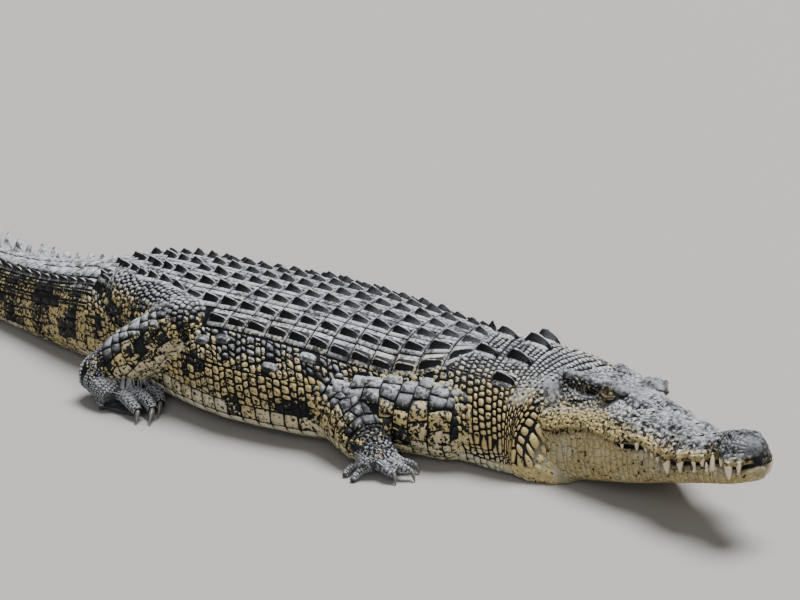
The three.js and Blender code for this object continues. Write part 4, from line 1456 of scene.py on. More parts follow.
class Finish:
    """A material built node by node."""

    def __init__(self, name: str, **shader: float | tuple[float, ...]) -> None:
        """Starts a material with constants set on its shader.

        Args:
            name: the material's name.
            shader: values for the shader's inputs, spaces written as underscores.
        """
        self.material = bpy.data.materials.new(name)
        self.material.use_nodes = True
        self.tree = self.material.node_tree
        self.shader = self.tree.nodes["Principled BSDF"]
        for socket, value in shader.items():
            self.shader.inputs[socket.replace("_", " ")].default_value = value

    def add(
        self, kind: str, inputs: dict[str | int, object] | None = None, **settings: object
    ) -> bpy.types.Node:
        """Adds a node; inputs given as sockets are linked and all others are set.

        Args:
            kind: the node's type without its "ShaderNode".
            inputs: values or sockets by input name or number.
            settings: the node's own properties.
        Returns:
            The node.
        """
        node = self.tree.nodes.new("ShaderNode" + kind)
        for key, value in settings.items():
            setattr(node, key, value)
        for key, value in (inputs or {}).items():
            if isinstance(value, Socket):
                self.tree.links.new(value, node.inputs[key])
            else:
                node.inputs[key].default_value = value
        return node

    def wire(self, socket: Socket, target: str) -> None:
        """Links a socket to an input of the shader."""
        self.tree.links.new(socket, self.shader.inputs[target])

    def reckon(self, operation: str, a: Operand, b: Operand = 0.5, clamp: bool = False) -> Socket:
        """A sum on one or two values, such as "ADD" or "MULTIPLY"."""
        return self.add("Math", {0: a, 1: b}, operation=operation, use_clamp=clamp).outputs[0]

    def scaled(self, value: Operand, *limits: float, clamp: bool = True) -> Socket:
        """A value moved from one range to another.

        Args:
            value: what is moved.
            limits: the range's ends it comes from, then those it goes to (0 and 1 where left out).
            clamp: whether it stops at the ends.
        Returns:
            The moved value.
        """
        inputs = dict(zip(("From Min", "From Max", "To Min", "To Max"), limits))
        return self.add("MapRange", {"Value": value, **inputs}, clamp=clamp).outputs[0]

    def blend(self, share: Operand, a: Operand, b: Operand) -> Socket:
        """A colour between a and b; hex codes are turned to linear light."""
        first, second = (linear(part) if isinstance(part, str) else part for part in (a, b))
        return self.add("Mix", {0: share, 6: first, 7: second}, data_type="RGBA").outputs[2]

    def noise(self, size: float, detail: float, roughness: float = 0.5) -> Socket:
        """Noise fixed to the object.

        Args:
            size: the width in mm of its largest patches.
            detail: how many finer layers it has.
            roughness: how strong they are.
        Returns:
            Values from 0 to 1.
        """
        place = self.add("TexCoord").outputs["Object"]
        inputs = {"Vector": place, "Scale": 1 / (size * MM), "Detail": detail, "Roughness": roughness}
        return self.add("TexNoise", inputs).outputs["Fac"]


@dataclass(frozen=True)
class Hues:
    """The colours of a horny surface: dark, pale and cream pigment, dust with painted sheen, and the near-black
    of painted groove shade and dark dots.
    """

    dark: str = "#121416"
    pale: str = "#bdab76"
    cream: str = "#c4bfa9"
    dust_and_sheen: str = "#cdd0d2"
    groove_shade: str = "#070708"


# horny skin, keratin over leather: dull, pigmented in tan and near black, speckled within each scale,
# with pale dried mud and dust and a painted sheen wherever it faces up, and painted shade in its grooves and
# hollows
BROAD_MM, SPECK_MM, FINE_MM = 28.0, 6.2, 2.6


def scale_finish(name: str, hues: Hues) -> bpy.types.Material:
    """Horn coloured by the stored marking, paler with dust and painted sheen where it faces up, and near-black
    with painted shade in its grooves.

    Args:
        name: the material's name.
        hues: its colours.
    Returns:
        The material.
    """
    f = Finish(name, Roughness=0.5, Specular_IOR_Level=0.2)
    mark = f.add("Attribute", attribute_name="marking", attribute_type="GEOMETRY").outputs
    pale, cream, dust_and_sheen = f.add("SeparateColor", {"Color": mark["Color"]}).outputs
    broad, speck, fine = f.noise(BROAD_MM, 4.0, 0.6), f.noise(SPECK_MM, 3.0, 0.6), f.noise(FINE_MM, 3.0, 0.7)
    # pigment: the stored paleness, broken up by specks, turns sharply from dark to pale
    stray = f.scaled(speck, 0.3, 0.7, -0.55, 0.55, clamp=False)
    light = f.scaled(f.reckon("ADD", pale, stray), 0.4, 0.54)
    pigment = f.blend(light, hues.dark, f.blend(cream, hues.pale, hues.cream))
    tone = f.scaled(broad, 0.25, 0.75, 0.72, 1.2)
    toned = f.add("VectorMath", {0: pigment, "Scale": tone}, operation="SCALE").outputs[0]
    # dust and painted sheen: patchy, thickest on what faces up, the sheen standing for the overhead light; on
    # the feet (stored value near 1) it lies all over
    feet = f.scaled(dust_and_sheen, 0.86, 0.96, 0.0, 0.58)
    up = f.add("SeparateXYZ", {0: f.add("NewGeometry").outputs["Normal"]}).outputs["Z"]
    facing = f.reckon("MAXIMUM", f.scaled(up, 0.08, 0.86), feet)
    patchy = f.scaled(f.reckon("ADD", speck, broad), 0.84, 1.04, 0.16, 1.0)
    patchy = f.reckon("MULTIPLY", patchy, f.scaled(dust_and_sheen, 0.86, 0.96, 1.0, 0.6))
    dust_and_sheen_cover = f.reckon("MULTIPLY", facing, f.reckon("MAXIMUM", patchy, feet))
    amount = f.reckon("MULTIPLY", dust_and_sheen_cover, dust_and_sheen, clamp=True)
    with_dust_and_sheen = f.blend(amount, toned, hues.dust_and_sheen)
    # painted shade: the stored alpha mixes in near-black in the grooves, on keel faces and in the head's
    # hollows; it also gives the pigment dots
    f.wire(f.blend(f.scaled(mark["Alpha"], 0.46, 0.74), with_dust_and_sheen, hues.groove_shade), "Base Color")
    bump = f.add("Bump", {"Height": fine, "Strength": 0.5, "Distance": 1.2 * MM}).outputs[0]
    coarse = f.add("Bump", {"Height": speck, "Strength": 0.45, "Distance": 2.2 * MM, "Normal": bump})
    f.wire(coarse.outputs[0], "Normal")
    return f.material


# ---------- the coat of scales ----------
@dataclass(frozen=True)
class Relief:
    """The shape of one kind of scale, heights and gaps in mm, places across and along it from -1 to 1.

    height and shoulder are the middle's height and the shoulder's share of it; gap is left between
    neighbours; corner rounds the outline. keel is a ridge's height, keel_half its half width, start
    and peak where along the scale it rises; lift raises the rear; dot is a dark pigment middle's strength;
    sink is how deep the edge goes under the hide; inner is where the shoulder lies; dark is the
    strength of the painted groove shade and shade the least of it anywhere on the scale; fine asks for more
    corners.
    """

    height: float = 2.2
    shoulder: float = 0.75
    gap: float = 0.9
    corner: float = 0.35
    keel: float = 0.0
    keel_half: float = 0.3
    start: float = -0.95
    peak: float = 0.5
    lift: float = 0.0
    dot: float = 0.0
    sink: float = 1.8
    fine: bool = False
    inner: float = 0.78
    dark: float = 1.0
    shade: float = 0.0

    FINE_SHOULDER, EDGE = 0.94, 0.99
    KEEL_GRID = (-1.0, -0.94, -0.62, -0.48, -0.12, 0.0, 0.12, 0.48, 0.62, 0.94, 1.0)
    FINE_GRID = (-1.0, -0.94, -0.66, -0.3, 0.1, 0.5, 0.7, 0.94, 1.0)
    BLADE_GRID = (-1.0, -0.5, -0.24, -0.1, 0.0, 0.1, 0.24, 0.5, 1.0)

    def grid(self) -> tuple[Array, Array]:
        """Across and along places of the scale's corners from -1 to 1, each (rows, columns)."""
        along = self.FINE_GRID if self.fine else (-1.0, -self.inner, 0.0, self.inner, 1.0)
        across = along
        if self.fine:
            across = self.BLADE_GRID if self.keel_half < 0.2 else self.KEEL_GRID
        return tuple(np.meshgrid(np.array(across), np.array(along)))

    def rise(self, across: Array, along: Array) -> Array:
        """Height over the hide: a pillow, lifted to the rear, with a keel that climbs to its peak.

        The pillow curves down to its shoulder and sinks at its edge. The keel is a ridge of triangular
        section whose top rises steeply at first towards the peak and then drops away.

        Args:
            across: places across the scale.
            along: places along it.
        Returns:
            Heights in mm.
        """
        edge = np.maximum(np.abs(across), np.abs(along))
        inner = edge / (self.FINE_SHOULDER if self.fine else self.inner)
        pillow = self.height * mix(1.0, self.shoulder, np.clip(inner, 0, 1) ** 2)
        climb = np.clip((along - self.start) / (self.peak - self.start), 0, 1) ** 0.55
        drop = smooth(0.98, self.peak, along)
        ridge = np.clip(1 - np.abs(across) / self.keel_half, 0, 1)
        rise = pillow + self.lift * (along + 1) / 2 + self.keel * ridge * climb * drop
        return np.where(edge > self.EDGE, -self.sink, rise)

    def rim(self, across: Array, along: Array) -> Array:
        """How much near-black shows: painted groove shade at the edge, painted shade over dark pigment on a
        keel's faces, a pigment dot in some kinds' middle.

        Args:
            across: places across the scale.
            along: places along it.
        Returns:
            Strengths from 0 to 1.
        """
        edge = np.maximum(np.abs(across), np.abs(along))
        rim = np.where(edge > self.EDGE, 1.0, np.where(edge > 0.7, 0.42, 0.0))
        # a keel's steep faces: painted shade over dark pigment
        if self.keel > 5 and self.keel_half > 0.25:
            face = (np.abs(across) < 0.5) & (along > self.start) & (along < 0.9)
            rim = np.where(face, np.interp(np.abs(across), (0.0, 0.12, 0.48), (0.4, 1.0, 0.9)), rim)
        return np.where(edge < 0.1, self.dot, rim)


@dataclass
class Field:
    """A field of scales in rows over one surface.

    The surface takes (around, along) and gives mm. Rows are borders in along; low and high bound
    each row in around; size is a scale's width and per the mm in one unit of around. uv gives a
    scale's place in the unwrap and paint its markings. stagger shifts every other row by a share of
    a scale, slant leans the rows back, wobble waves their borders, jitter loosens the corners. own
    is the form whose scales it may touch, reach how far in mm the hide may lie, keep which stay.
    """

    surface: Callable[[Array, Array], Array]
    rows: Array
    low: Bound
    high: Bound
    size: Bound
    relief: Relief
    uv: Callable[[Array, Array], Array]
    paint: Callable[[Array, Array, Array], Array]
    per: Bound = even(1.0)
    stagger: float = 0.5
    slant: float = 0.0
    wobble: float = 0.0
    jitter: float = 0.12
    own: object = None
    reach: float = 17.0
    keep: Callable[[Array, Array], Array] | None = None

    def corners(self, seed: int) -> Array:
        """The four corners of every scale; each row is cut into whole scales between its bounds.

        Args:
            seed: which random numbers loosen the corners.
        Returns:
            Corners in (around, along), (n, 4, 2).
        """
        middle = (self.rows[:-1] + self.rows[1:]) / 2
        span = (self.high(middle) - self.low(middle)) * self.per(middle)
        count = np.maximum(1, np.round(span / self.size(middle))).astype(int)
        row, column = np.meshgrid(np.arange(len(middle)), np.arange(count.max() + 1), indexing="ij")
        row, column = (part[column <= count[row] - (self.stagger == 0)] for part in (row, column))
        shift = np.where(row % 2 == 1, self.stagger, 0.0)
        total = count[row]

        quads = []
        for side, border in ((0, 0), (1, 0), (1, 1), (0, 1)):
            step = column + side - shift
            hashed = np.stack([row, column + side, 0 * row + border], -1)
            loose = np.where((step > 0) & (step < total), self.jitter, 0.0)
            share = np.clip((step + loose * (lattice_value(hashed, seed) - 0.5) * 2) / total, 0, 1)
            number = row + border
            line = self.rows[number]
            pitch = self.rows[row + 1] - self.rows[row]
            around = mix(self.low(line), self.high(line), share)
            far = around * self.per(line)
            wave = np.sin(far / 31 + number * 1.9) + 0.6 * np.sin(far / 13 + number * 4.1)
            line = line + pitch * self.wobble * wave + self.slant * np.abs(share)
            quads.append(np.stack([around, line], -1))
        quads = np.stack(quads, axis=1)
        wide = np.minimum(quads[:, 1, 0] - quads[:, 0, 0], quads[:, 2, 0] - quads[:, 3, 0])
        return quads[wide > 1e-6]


class Coat:
    """Horny scales laid over the hide piece by piece, each piece one closed-shelled mesh."""

    FLOOR_GAP = 0.15
    UNWRAP_HALF = 0.0015
    FULL_SIZE, LEAST_RISE = 9.0, 0.45

    def __init__(self, animal: Animal, markings: Markings, hide: bpy.types.Object) -> None:
        """Keeps what the scales are laid on.

        Args:
            animal: the forms.
            markings: their markings.
            hide: the finished hide.
        """
        self.animal, self.markings, self.hide = animal, markings, hide
        self.seed = RNG_SEED
        self.faces = 0

    def drape(self, points: Array) -> Array:
        """The nearest places on the hide.

        Args:
            points: places in mm, (n, 3).
        Returns:
            Places in mm, (n, 3).
        """
        mesh = bpy.data.meshes.new("drape")
        mesh.vertices.add(len(points))
        move_points(mesh, points)
        cloth = add_object("drape", mesh)
        cling = cloth.modifiers.new("cling", "SHRINKWRAP")
        cling.target, cling.wrap_method, cling.wrap_mode = self.hide, "NEAREST_SURFACEPOINT", "ON_SURFACE"
        shaped = cloth.evaluated_get(bpy.context.evaluated_depsgraph_get())
        laid = mesh_points(shaped.data)
        bpy.data.objects.remove(cloth)
        return laid

    def kin(self, own: object) -> list[Tube]:
        """The tubes whose scales may run into those of a form: a shank, its foot and its toes.

        Args:
            own: the form.
        Returns:
            The tubes, none where the form isn't one of them.
        """
        for leg in self.animal.legs.values():
            if own in (family := [leg.lower, leg.foot, *leg.toes]):
                return family
        return []

    def swallowed(self, points: Array, own: object) -> Array:
        """Which places lie inside a form other than their own.

        Args:
            points: places in mm, (n, 3).
            own: the form they are on.
        Returns:
            True for each place that lies inside another form, (n,).
        """
        inside = np.zeros(len(points), bool)
        body, head = self.animal.body, self.animal.head
        spared = [own, *self.kin(own)]
        for leg in self.animal.legs.values():
            for tube in (leg.upper, leg.lower, leg.foot, *leg.toes):
                if tube not in spared:
                    close = np.linalg.norm(points - tube.line[24], axis=1) < tube.length
                    inside[close] |= tube.radii_from(points[close]) < (0.86 if own is body else 0.93)
            knee = np.linalg.norm((points - leg.bend) / np.array(leg.plan.knee), axis=1)
            inside |= (knee < 0.9) & (own is not None)
        if own is not body:
            s, share = body.locate(points)
            skin = body.spot(s, share * body.half(s))
            middle = np.concatenate([body.midline(s)[0], 0.45 * body.BACK_HEIGHT(s)[:, None]], 1)
            depth = np.linalg.norm(skin - middle, axis=1) - np.linalg.norm(points - middle, axis=1)
            inside |= (depth > (16.0 if own is head else 6.0)) & (s > NECK_FROM + 8)
        if own is not head:
            ahead, out, tall = folded(head.shares(points)).T
            level = (tall < head.SNOUT_TOP(ahead) - 0.01) & (tall > head.JAW_BOTTOM(ahead) + 0.025)
            inside |= (ahead > -0.04) & (out < head.LIP_HALF(ahead) * 0.86) & level
        return inside

    def piece(self, name: str, fields: Sequence[Field], finish: bpy.types.Material) -> None:
        """Lays one or more fields of scales as one piece.

        Args:
            name: the piece's name.
            fields: what to lay.
            finish: its material.
        """
        laid, quads, bases, start = [], [], [], 0
        for field_ in fields:
            self.seed += 101
            made = self.lay(field_, self.seed)
            if made is None:
                continue
            shape = made[0].shape[:3]
            number = np.arange(math.prod(shape)).reshape(shape) + start
            rows = number[:, :-1], number[:, 1:]
            quad = np.stack([rows[0][..., :-1], rows[0][..., 1:], rows[1][..., 1:], rows[1][..., :-1]], -1)
            loop = [number[:, 0, :-1], number[:, :-1, -1], number[:, -1, :0:-1], number[:, :0:-1, 0]]
            quads.append(quad.reshape(-1, 4))
            bases.append(np.concatenate(loop, axis=1)[:, ::-1])
            laid.append([part.reshape(-1, part.shape[-1]) for part in made])
            start += number.size
        points, colours, unwraps = (np.concatenate(parts) for parts in zip(*laid))
        mesh = write_mesh(name, points, [np.concatenate(quads), *bases])
        set_colour(mesh, "marking", colours)
        set_uv(mesh, "OFBake", unwraps)
        finish_piece(add_object(name, mesh), finish, Slot.HIDE)
        triangles = sum(len(part) * (part.shape[1] - 2) for part in (*quads, *bases))
        self.faces += triangles
        LOG.info("%s: %d scales, %d triangles", name, sum(len(part) for part in bases), triangles)

    def lay(self, field_: Field, seed: int) -> tuple[Array, Array, Array] | None:
        """Shapes every scale of a field on the hide.

        Args:
            field_: the field.
            seed: which random numbers it uses.
        Returns:
            Places (n, rows, columns, 3), markings and unwrap places, or None where nothing is left.
        """
        relief = field_.relief
        quads, laid = self.wanted(field_, field_.corners(seed))
        if not len(quads):
            return None
        middle = quads.mean(1)
        across, along = relief.grid()
        base, width, length = self.outlines(field_, quads, across, along)
        shape = base.shape
        base = self.drape(base.reshape(-1, 3)).reshape(shape)
        toward_u = (base[:, :, -1] - base[:, :, 0]).mean(1)
        toward_v = (base[:, -1] - base[:, 0]).mean(1)
        out = unit(np.cross(toward_u, toward_v))
        chance = lattice_value(np.round(middle * 7.0).astype(int)[:, [0, 1, 1]], seed)
        least = 1.0 if relief.fine else self.LEAST_RISE
        size = np.clip(np.minimum(width, length) / self.FULL_SIZE, least, 1.0)
        rise = relief.rise(across, along)[None] * (size * mix(0.8, 1.15, chance))[:, None, None]
        rise = np.where(relief.rise(across, along)[None] < 0, -relief.sink, rise)
        points = base + out[:, None, None, :] * rise[..., None]
        points[..., 2] = np.maximum(points[..., 2], self.FLOOR_GAP)
        tone = field_.paint(laid, middle[:, 0], middle[:, 1])
        colour = np.empty((*shape[:3], 4))
        colour[..., :3] = np.clip(tone * mix(0.85, 1.1, chance)[:, None], 0, 1)[:, None, None, :]
        # alpha: painted groove shade at the edge, painted shade over dark pigment on keel faces, pigment dots,
        # and on the head painted shade in its hollows
        rim = relief.dark * relief.rim(across, along)[None] * mix(0.85, 1.0, chance)[:, None, None]
        colour[..., 3] = np.maximum(rim, relief.shade)
        if field_.own is self.animal.head:
            sunk_shade = self.markings.cavity_shade(points.reshape(-1, 3)).reshape(shape[:3])
            colour[..., 3] = np.maximum(colour[..., 3], sunk_shade)
        root = field_.uv(middle[:, 0], middle[:, 1])[:, None, None, :]
        return points, colour, root + self.UNWRAP_HALF * np.stack([across, along], -1)[None]

    def wanted(self, field_: Field, quads: Array) -> tuple[Array, Array]:
        """Leaves out scales that the field doesn't keep, that miss the hide or that lie inside another form.

        Args:
            field_: the field.
            quads: its scales' corners in (around, along).
        Returns:
            The corners of those that stay and their middles' places on the hide in mm.
        """
        if field_.keep is not None:
            quads = quads[field_.keep(*quads.mean(1).T)]
        roots = field_.surface(*quads.mean(1).T)
        if not len(quads):
            return quads, roots
        laid = self.drape(roots)
        stay = (np.linalg.norm(roots - laid, axis=1) < field_.reach) & ~self.swallowed(roots, field_.own)
        return quads[stay], laid[stay]

    @staticmethod
    def outlines(field_: Field, quads: Array, across: Array, along: Array) -> tuple[Array, Array, Array]:
        """Spreads each scale's grid over its rounded outline, a gap inside its corners.

        Args:
            field_: the field.
            quads: the scales' corners in (around, along).
            across: the grid's places across a scale.
            along: its places along a scale.
        Returns:
            Places in mm, (n, rows, columns, 3), and each scale's width and length in mm.
        """
        corner = field_.surface(quads[..., 0], quads[..., 1])
        width = np.linalg.norm(corner[:, 1] - corner[:, 0] + corner[:, 2] - corner[:, 3], axis=1) / 2
        length = np.linalg.norm(corner[:, 3] - corner[:, 0] + corner[:, 2] - corner[:, 1], axis=1) / 2
        shares = []
        for place, other, size in ((across, along, width), (along, across, length)):
            shrink = np.clip(1 - field_.relief.gap / np.maximum(size, 1e-6), 0.2, 1)[:, None, None]
            rounded_place = place * np.sqrt(1 - field_.relief.corner * other**2 / 2)
            shares.append(((rounded_place * shrink + 1) / 2)[..., None])
        q = quads[:, :, None, None, :]
        place = mix(mix(q[:, 0], q[:, 1], shares[0]), mix(q[:, 3], q[:, 2], shares[0]), shares[1])
        return field_.surface(place[..., 0], place[..., 1]), width, length


# ---------- where each kind of scale lies on the body ----------
def rings_between(start: float, end: float, pitch: Callable[[float], float]) -> Array:
    """Row borders, each a pitch after the last.

    Args:
        start: the first border.
        end: the place the last border reaches or passes.
        pitch: the row's length at a place.
    Returns:
        The borders.
    """
    borders = [start]
    while borders[-1] < end:
        borders.append(borders[-1] + float(pitch(borders[-1])))
    return np.array(borders)


class BodyCoat:
    """The scales of the neck, trunk and tail."""

    SHIELD = Profile(
        (640, 60), (690, 128), (760, 160), (900, 168), (1150, 168), (1300, 150), (1400, 112), (1450, 84),
    )
    SHIELD_ROW = Profile((640, 38), (760, 41.5), (1180, 41.5), (1320, 31), (1450, 29))
    SHIELD_FROM, SHIELD_TO, FLANK_TO = 642.0, 1450.0, 1560.0
    WHORL = Profile((1450, 29), (1600, 32), (1800, 40), (2230, 50), (3070, 38))
    CREST_TURN = Profile((1450, 0.72), (1740, 0.55), (2230, 0.14))
    CREST_HEIGHT = Profile(
        (1450, 12), (1620, 17), (1740, 22), (1900, 34), (2230, 52), (2700, 44), (3070, 12),
    )
    OVAL_HALF = (17.0, 11.0)
    BLADE_REACH, TIP_REACH, TIP_FROM = 16.0, 9.0, 2600.0
    WIDEST_ARC = 545.0
    NUCHAL = ((566, 0.2, 54, 44, 20), (570, 0.62, 50, 40, 22), (624, 0.24, 46, 38, 17))

    SCUTE = Relief(
        height=2.4, shoulder=0.8, gap=0.5, corner=0.06, keel=12.0, keel_half=0.5, start=-0.85, fine=True,
    )
    OVAL = Relief(height=2.4, shoulder=0.6, gap=0.3, corner=0.8, keel=3.5, keel_half=0.6, peak=0.3, fine=True)
    GRAIN = Relief(height=3.8, shoulder=0.4, gap=1.0, corner=0.9)
    SQUARE = Relief(height=3.2, shoulder=0.6, gap=1.5, corner=0.7, dot=0.72)
    SLAB = Relief(height=2.8, shoulder=0.7, gap=1.4, corner=0.35, inner=0.9)
    BEAD = Relief(height=4.4, shoulder=0.4, gap=1.9, corner=0.92)
    TAIL_PLATE = Relief(height=3.0, shoulder=0.66, gap=1.1, corner=0.3, lift=1.8, inner=0.86)
    TAIL_KEEL = Relief(
        height=3.0, shoulder=0.7, gap=1.2, corner=0.25, keel=7.0, keel_half=0.5, peak=0.45, fine=True,
    )
    NUCHAL_PLATE = Relief(
        height=5.0, shoulder=0.5, gap=0.5, corner=0.6, keel_half=0.6, peak=0.4, fine=True, sink=4.0,
    )
    BLADE = Relief(
        height=2.0, shoulder=0.5, gap=0.2, corner=0.2, keel_half=0.19, peak=0.62, fine=True, sink=3.0,
    )

    def __init__(self, coat: Coat, finish: bpy.types.Material) -> None:
        """Keeps the coat to add to and its material."""
        self.coat, self.finish = coat, finish
        self.body, self.markings = coat.animal.body, coat.markings

    def field(
        self, rows: Array, low: Bound, high: Bound, size: float, relief: Relief, **more: object
    ) -> Field:
        """A field on the body with arcs as its around and stations as its along.

        Args:
            rows: the rows' borders.
            low: where each row begins.
            high: where it ends.
            size: a scale's width in mm.
            relief: the scales' shape.
            more: other settings of the field.
        Returns:
            The field.
        """
        return Field(
            surface=lambda arc, s: self.body.spot(s, arc), rows=rows, low=low, high=high, size=even(size),
            relief=relief, uv=lambda arc, s: self.unwrap(s, 0.5 * arc / self.WIDEST_ARC),
            own=self.body, **{"paint": self.paint, **more},
        )

    def unwrap(self, s: Array, aside: Array) -> Array:
        """A place in the unwrap by station and by distance from its middle line."""
        return np.stack([(s - 372) / 2700, 0.5 + aside], -1)

    def paint(self, points: Array, arc: Array, s: Array) -> Array:
        """The markings of scales on the body."""
        return self.markings.body(points, s, arc / self.body.half(s))

    def both(
        self, rows: Array, low: Bound, high: Bound, size: float, relief: Relief, **more: object
    ) -> list[Field]:
        """The same field on the left side and, mirrored, on the right; a field's arguments."""
        left = self.field(rows, low, high, size, relief, **more)
        return [left, self.field(rows, lambda s: -high(s), lambda s: -low(s), size, relief, **more)]

    def single(
        self, s: float, arc: float, length: float, width: float, relief: Relief, look: Sequence[float]
    ) -> Field:
        """One large scale by itself.

        Args:
            s: the station of its middle.
            arc: the arc of its middle.
            length: its length in mm.
            width: its width in mm.
            relief: its shape.
            look: its pale, cream, and dust with painted sheen.
        Returns:
            The field of one scale.
        """
        return self.field(
            np.array([s - length / 2, s + length / 2]), even(arc - width / 2), even(arc + width / 2), width,
            relief, stagger=0.0, paint=lambda points, around, along: np.tile(look, (len(points), 1)),
        )

    @staticmethod
    def clear_of(ovals: Iterable[Sequence[float]], arc: Array, s: Array) -> Array:
        """Whether places are outside every oval, given by station, arc, half length and half width."""
        return np.all([
            ((s - at) / tall) ** 2 + ((np.abs(arc) - seat) / wide) ** 2 > 1 for at, seat, tall, wide in ovals
        ], axis=0)

    def share(self, value: float) -> Bound:
        """An arc bound that keeps to a share of the half girth."""
        return lambda s: value * self.body.half(s)

    def crest_arc(self, s: Array) -> Array:
        """The arc at which the tail's side crests stand."""
        return self.body.share_at(s, self.CREST_TURN(s)) * self.body.half(s)

    def build(self) -> None:
        """Lays every piece of the body's coat."""
        first, last = self.SHIELD_FROM, self.SHIELD_TO
        rows = rings_between(first, last, self.SHIELD_ROW)
        rows = first + (rows - first) * (last - first) / (rows[-1] - first)
        scutes = self.field(
            rows, lambda s: -self.SHIELD(s), self.SHIELD, 43.0, self.SCUTE, stagger=0.0, wobble=0.02,
            jitter=0.05,
        )
        self.coat.piece("dorsal_scutes", [scutes], self.finish)
        flank = self.both(
            self.flank_rows(12.5), self.flank_top, self.share(0.44), 12.5, self.GRAIN, wobble=0.18, jitter=0.5,
            slant=26.0, keep=self.clear_of_ovals,
        )
        self.coat.piece("flank_scales", flank, self.finish)
        tall, wide = self.OVAL_HALF
        ovals = [
            self.single(s, side * arc, 2 * tall, 2 * wide, self.OVAL, (0.15, 0.0, 0.6))
            for s, arc in self.ovals() for side in (-1, 1)
        ]
        self.coat.piece("flank_ovals", ovals, self.finish)
        squares = self.both(
            self.flank_rows(14.8), self.share(0.44), self.share(0.55), 14.0, self.SQUARE, wobble=0.12,
            jitter=0.3, slant=14.0,
        )
        slabs = self.both(
            self.flank_rows(27.0), self.share(0.55), self.share(1.0), 30.0, self.SLAB, wobble=0.03,
            jitter=0.05, stagger=0.0,
        )
        self.coat.piece("belly_scales", squares + slabs, self.finish)
        self.neck()
        self.tail()

    def flank_rows(self, pitch: float) -> Array:
        """Row borders along the flank and the belly."""
        return rings_between(NECK_TO, self.FLANK_TO, even(pitch))

    def ovals(self) -> list[tuple[float, float]]:
        """Stations and arcs of the larger smooth scales scattered over the upper flank."""
        k = np.arange(30)
        chance = lattice_value(np.stack([k, k, 0 * k], -1), 5)
        other = lattice_value(np.stack([k, 3 * k, 1 + 0 * k], -1), 6)
        s = 700 + 20.5 * k + 14 * chance
        arc = self.SHIELD(np.clip(s, 700, 1450)) + np.where(k % 2 == 0, 14, 46) + 20 * other
        kept = (chance < 0.36) & (arc < 0.43 * self.body.half(s) - 10) & (s < 1290)
        return [(float(a), float(b)) for a, b in zip(s[kept], arc[kept])]

    def clear_of_ovals(self, arc: Array, s: Array) -> Array:
        """Whether a place is outside every larger scale of the flank."""
        return self.clear_of([(*seat, *self.OVAL_HALF) for seat in self.ovals()], arc, s)

    def flank_top(self, s: Array) -> Array:
        """Where the flank's scales begin: at the shield's edge, and beyond the crests behind the hips."""
        return np.where(s < 1450, self.SHIELD(np.clip(s, 700, 1450)) + 2, 0.0 * s + 86)

    def neck(self) -> None:
        """Lays the neck's granules, its beads and its throat scales, with the large nuchal scutes."""
        granules = self.both(
            rings_between(392, NECK_TO, even(10.5)), even(0.0), self.share(0.26), 11.0, self.GRAIN,
            wobble=0.1, jitter=0.3, keep=self.clear_of_nuchal,
        )
        beads = self.both(
            rings_between(384, NECK_TO, even(11.8)), self.share(0.26), self.share(0.6), 13.0, self.BEAD,
            wobble=0.12, jitter=0.26, slant=26.0,
        )
        throat = self.both(
            rings_between(384, NECK_TO, even(13.0)), self.share(0.6), self.share(1.0), 23.0, self.SLAB,
            wobble=0.06, jitter=0.1,
        )
        self.coat.piece("neck_scales", granules + beads + throat, self.finish)
        shields = []
        for s, turn, length, width, height in self.NUCHAL:
            arc = float(self.body.share_at(np.array([s]), np.array([turn]))[0] * self.body.half(s))
            relief = replace(self.NUCHAL_PLATE, keel=height)
            for side in (-1, 1):
                shields.append(self.single(s, side * arc, length, width, relief, (0.2, 0.0, 0.9)))
        self.coat.piece("nuchal_scutes", shields, self.finish)

    def clear_of_nuchal(self, arc: Array, s: Array) -> Array:
        """Whether a place is outside every nuchal scute.

        Args:
            arc: arcs in mm.
            s: stations.
        Returns:
            True where it is outside, (n,).
        """
        seats = [
            (at, self.body.share_at(s, 0 * s + turn) * self.body.half(s), length / 2, width / 2)
            for at, turn, length, width, _ in self.NUCHAL
        ]
        return self.clear_of(seats, arc, s)

    def tail(self) -> None:
        """Lays the tail's whorls of plates, its second row of keels and its crests of blades."""
        front, rear = rings_between(1450, 2250, self.WHORL), rings_between(2242, 3030, self.WHORL)
        top = self.both(
            front, even(0.0), lambda s: np.maximum(self.crest_arc(s) - 9, 1), 30.0, self.TAIL_PLATE,
            stagger=0.0, keep=lambda arc, s: s < 2120,
        )
        tail = {"stagger": 0.0, "jitter": 0.06}
        keels = self.both(
            front, lambda s: np.maximum(self.crest_arc(s) + 9, 9), self.share(0.42), 27.0, self.TAIL_KEEL,
            **tail,
        )
        plates = self.both(front, self.share(0.42), self.share(1.0), 20.0, self.TAIL_PLATE, **tail)
        end = self.both(rear, even(9.0), self.share(1.0), 18.0, self.TAIL_PLATE, **tail)
        self.coat.piece("tail_scales", top + keels + plates + end, self.finish)
        blades = [
            self.blade(side, row)
            for rows, sides in ((front, (-1, 1)), (rear, (0,)))
            for side in sides
            for row in zip(rows[:-1], rows[1:])
        ]
        self.coat.piece("tail_crests", blades, self.finish)

    def blade(self, side: int, row: tuple[float, float]) -> Field:
        """One blade of a crest standing on the tail's back.

        Args:
            side: 1 for the left crest, -1 for the right, 0 for the single one near the tip.
            row: the stations it runs between.
        Returns:
            The field of one blade.
        """
        reach = self.BLADE_REACH if row[0] < self.TIP_FROM else self.TIP_REACH
        return Field(
            surface=lambda across, s: self.beside_crest(side, across, s), rows=np.array(row),
            low=even(-reach), high=even(reach), size=even(2 * reach),
            relief=replace(self.BLADE, keel=1.3 * float(self.CREST_HEIGHT(row[0]))),
            uv=lambda across, s: self.unwrap(s, 0.2 * side + across / 900),
            paint=lambda points, across, s: self.markings.body(points, s, 0 * s), own=self.body, stagger=0.0,
            jitter=0.0, reach=20.0,
        )

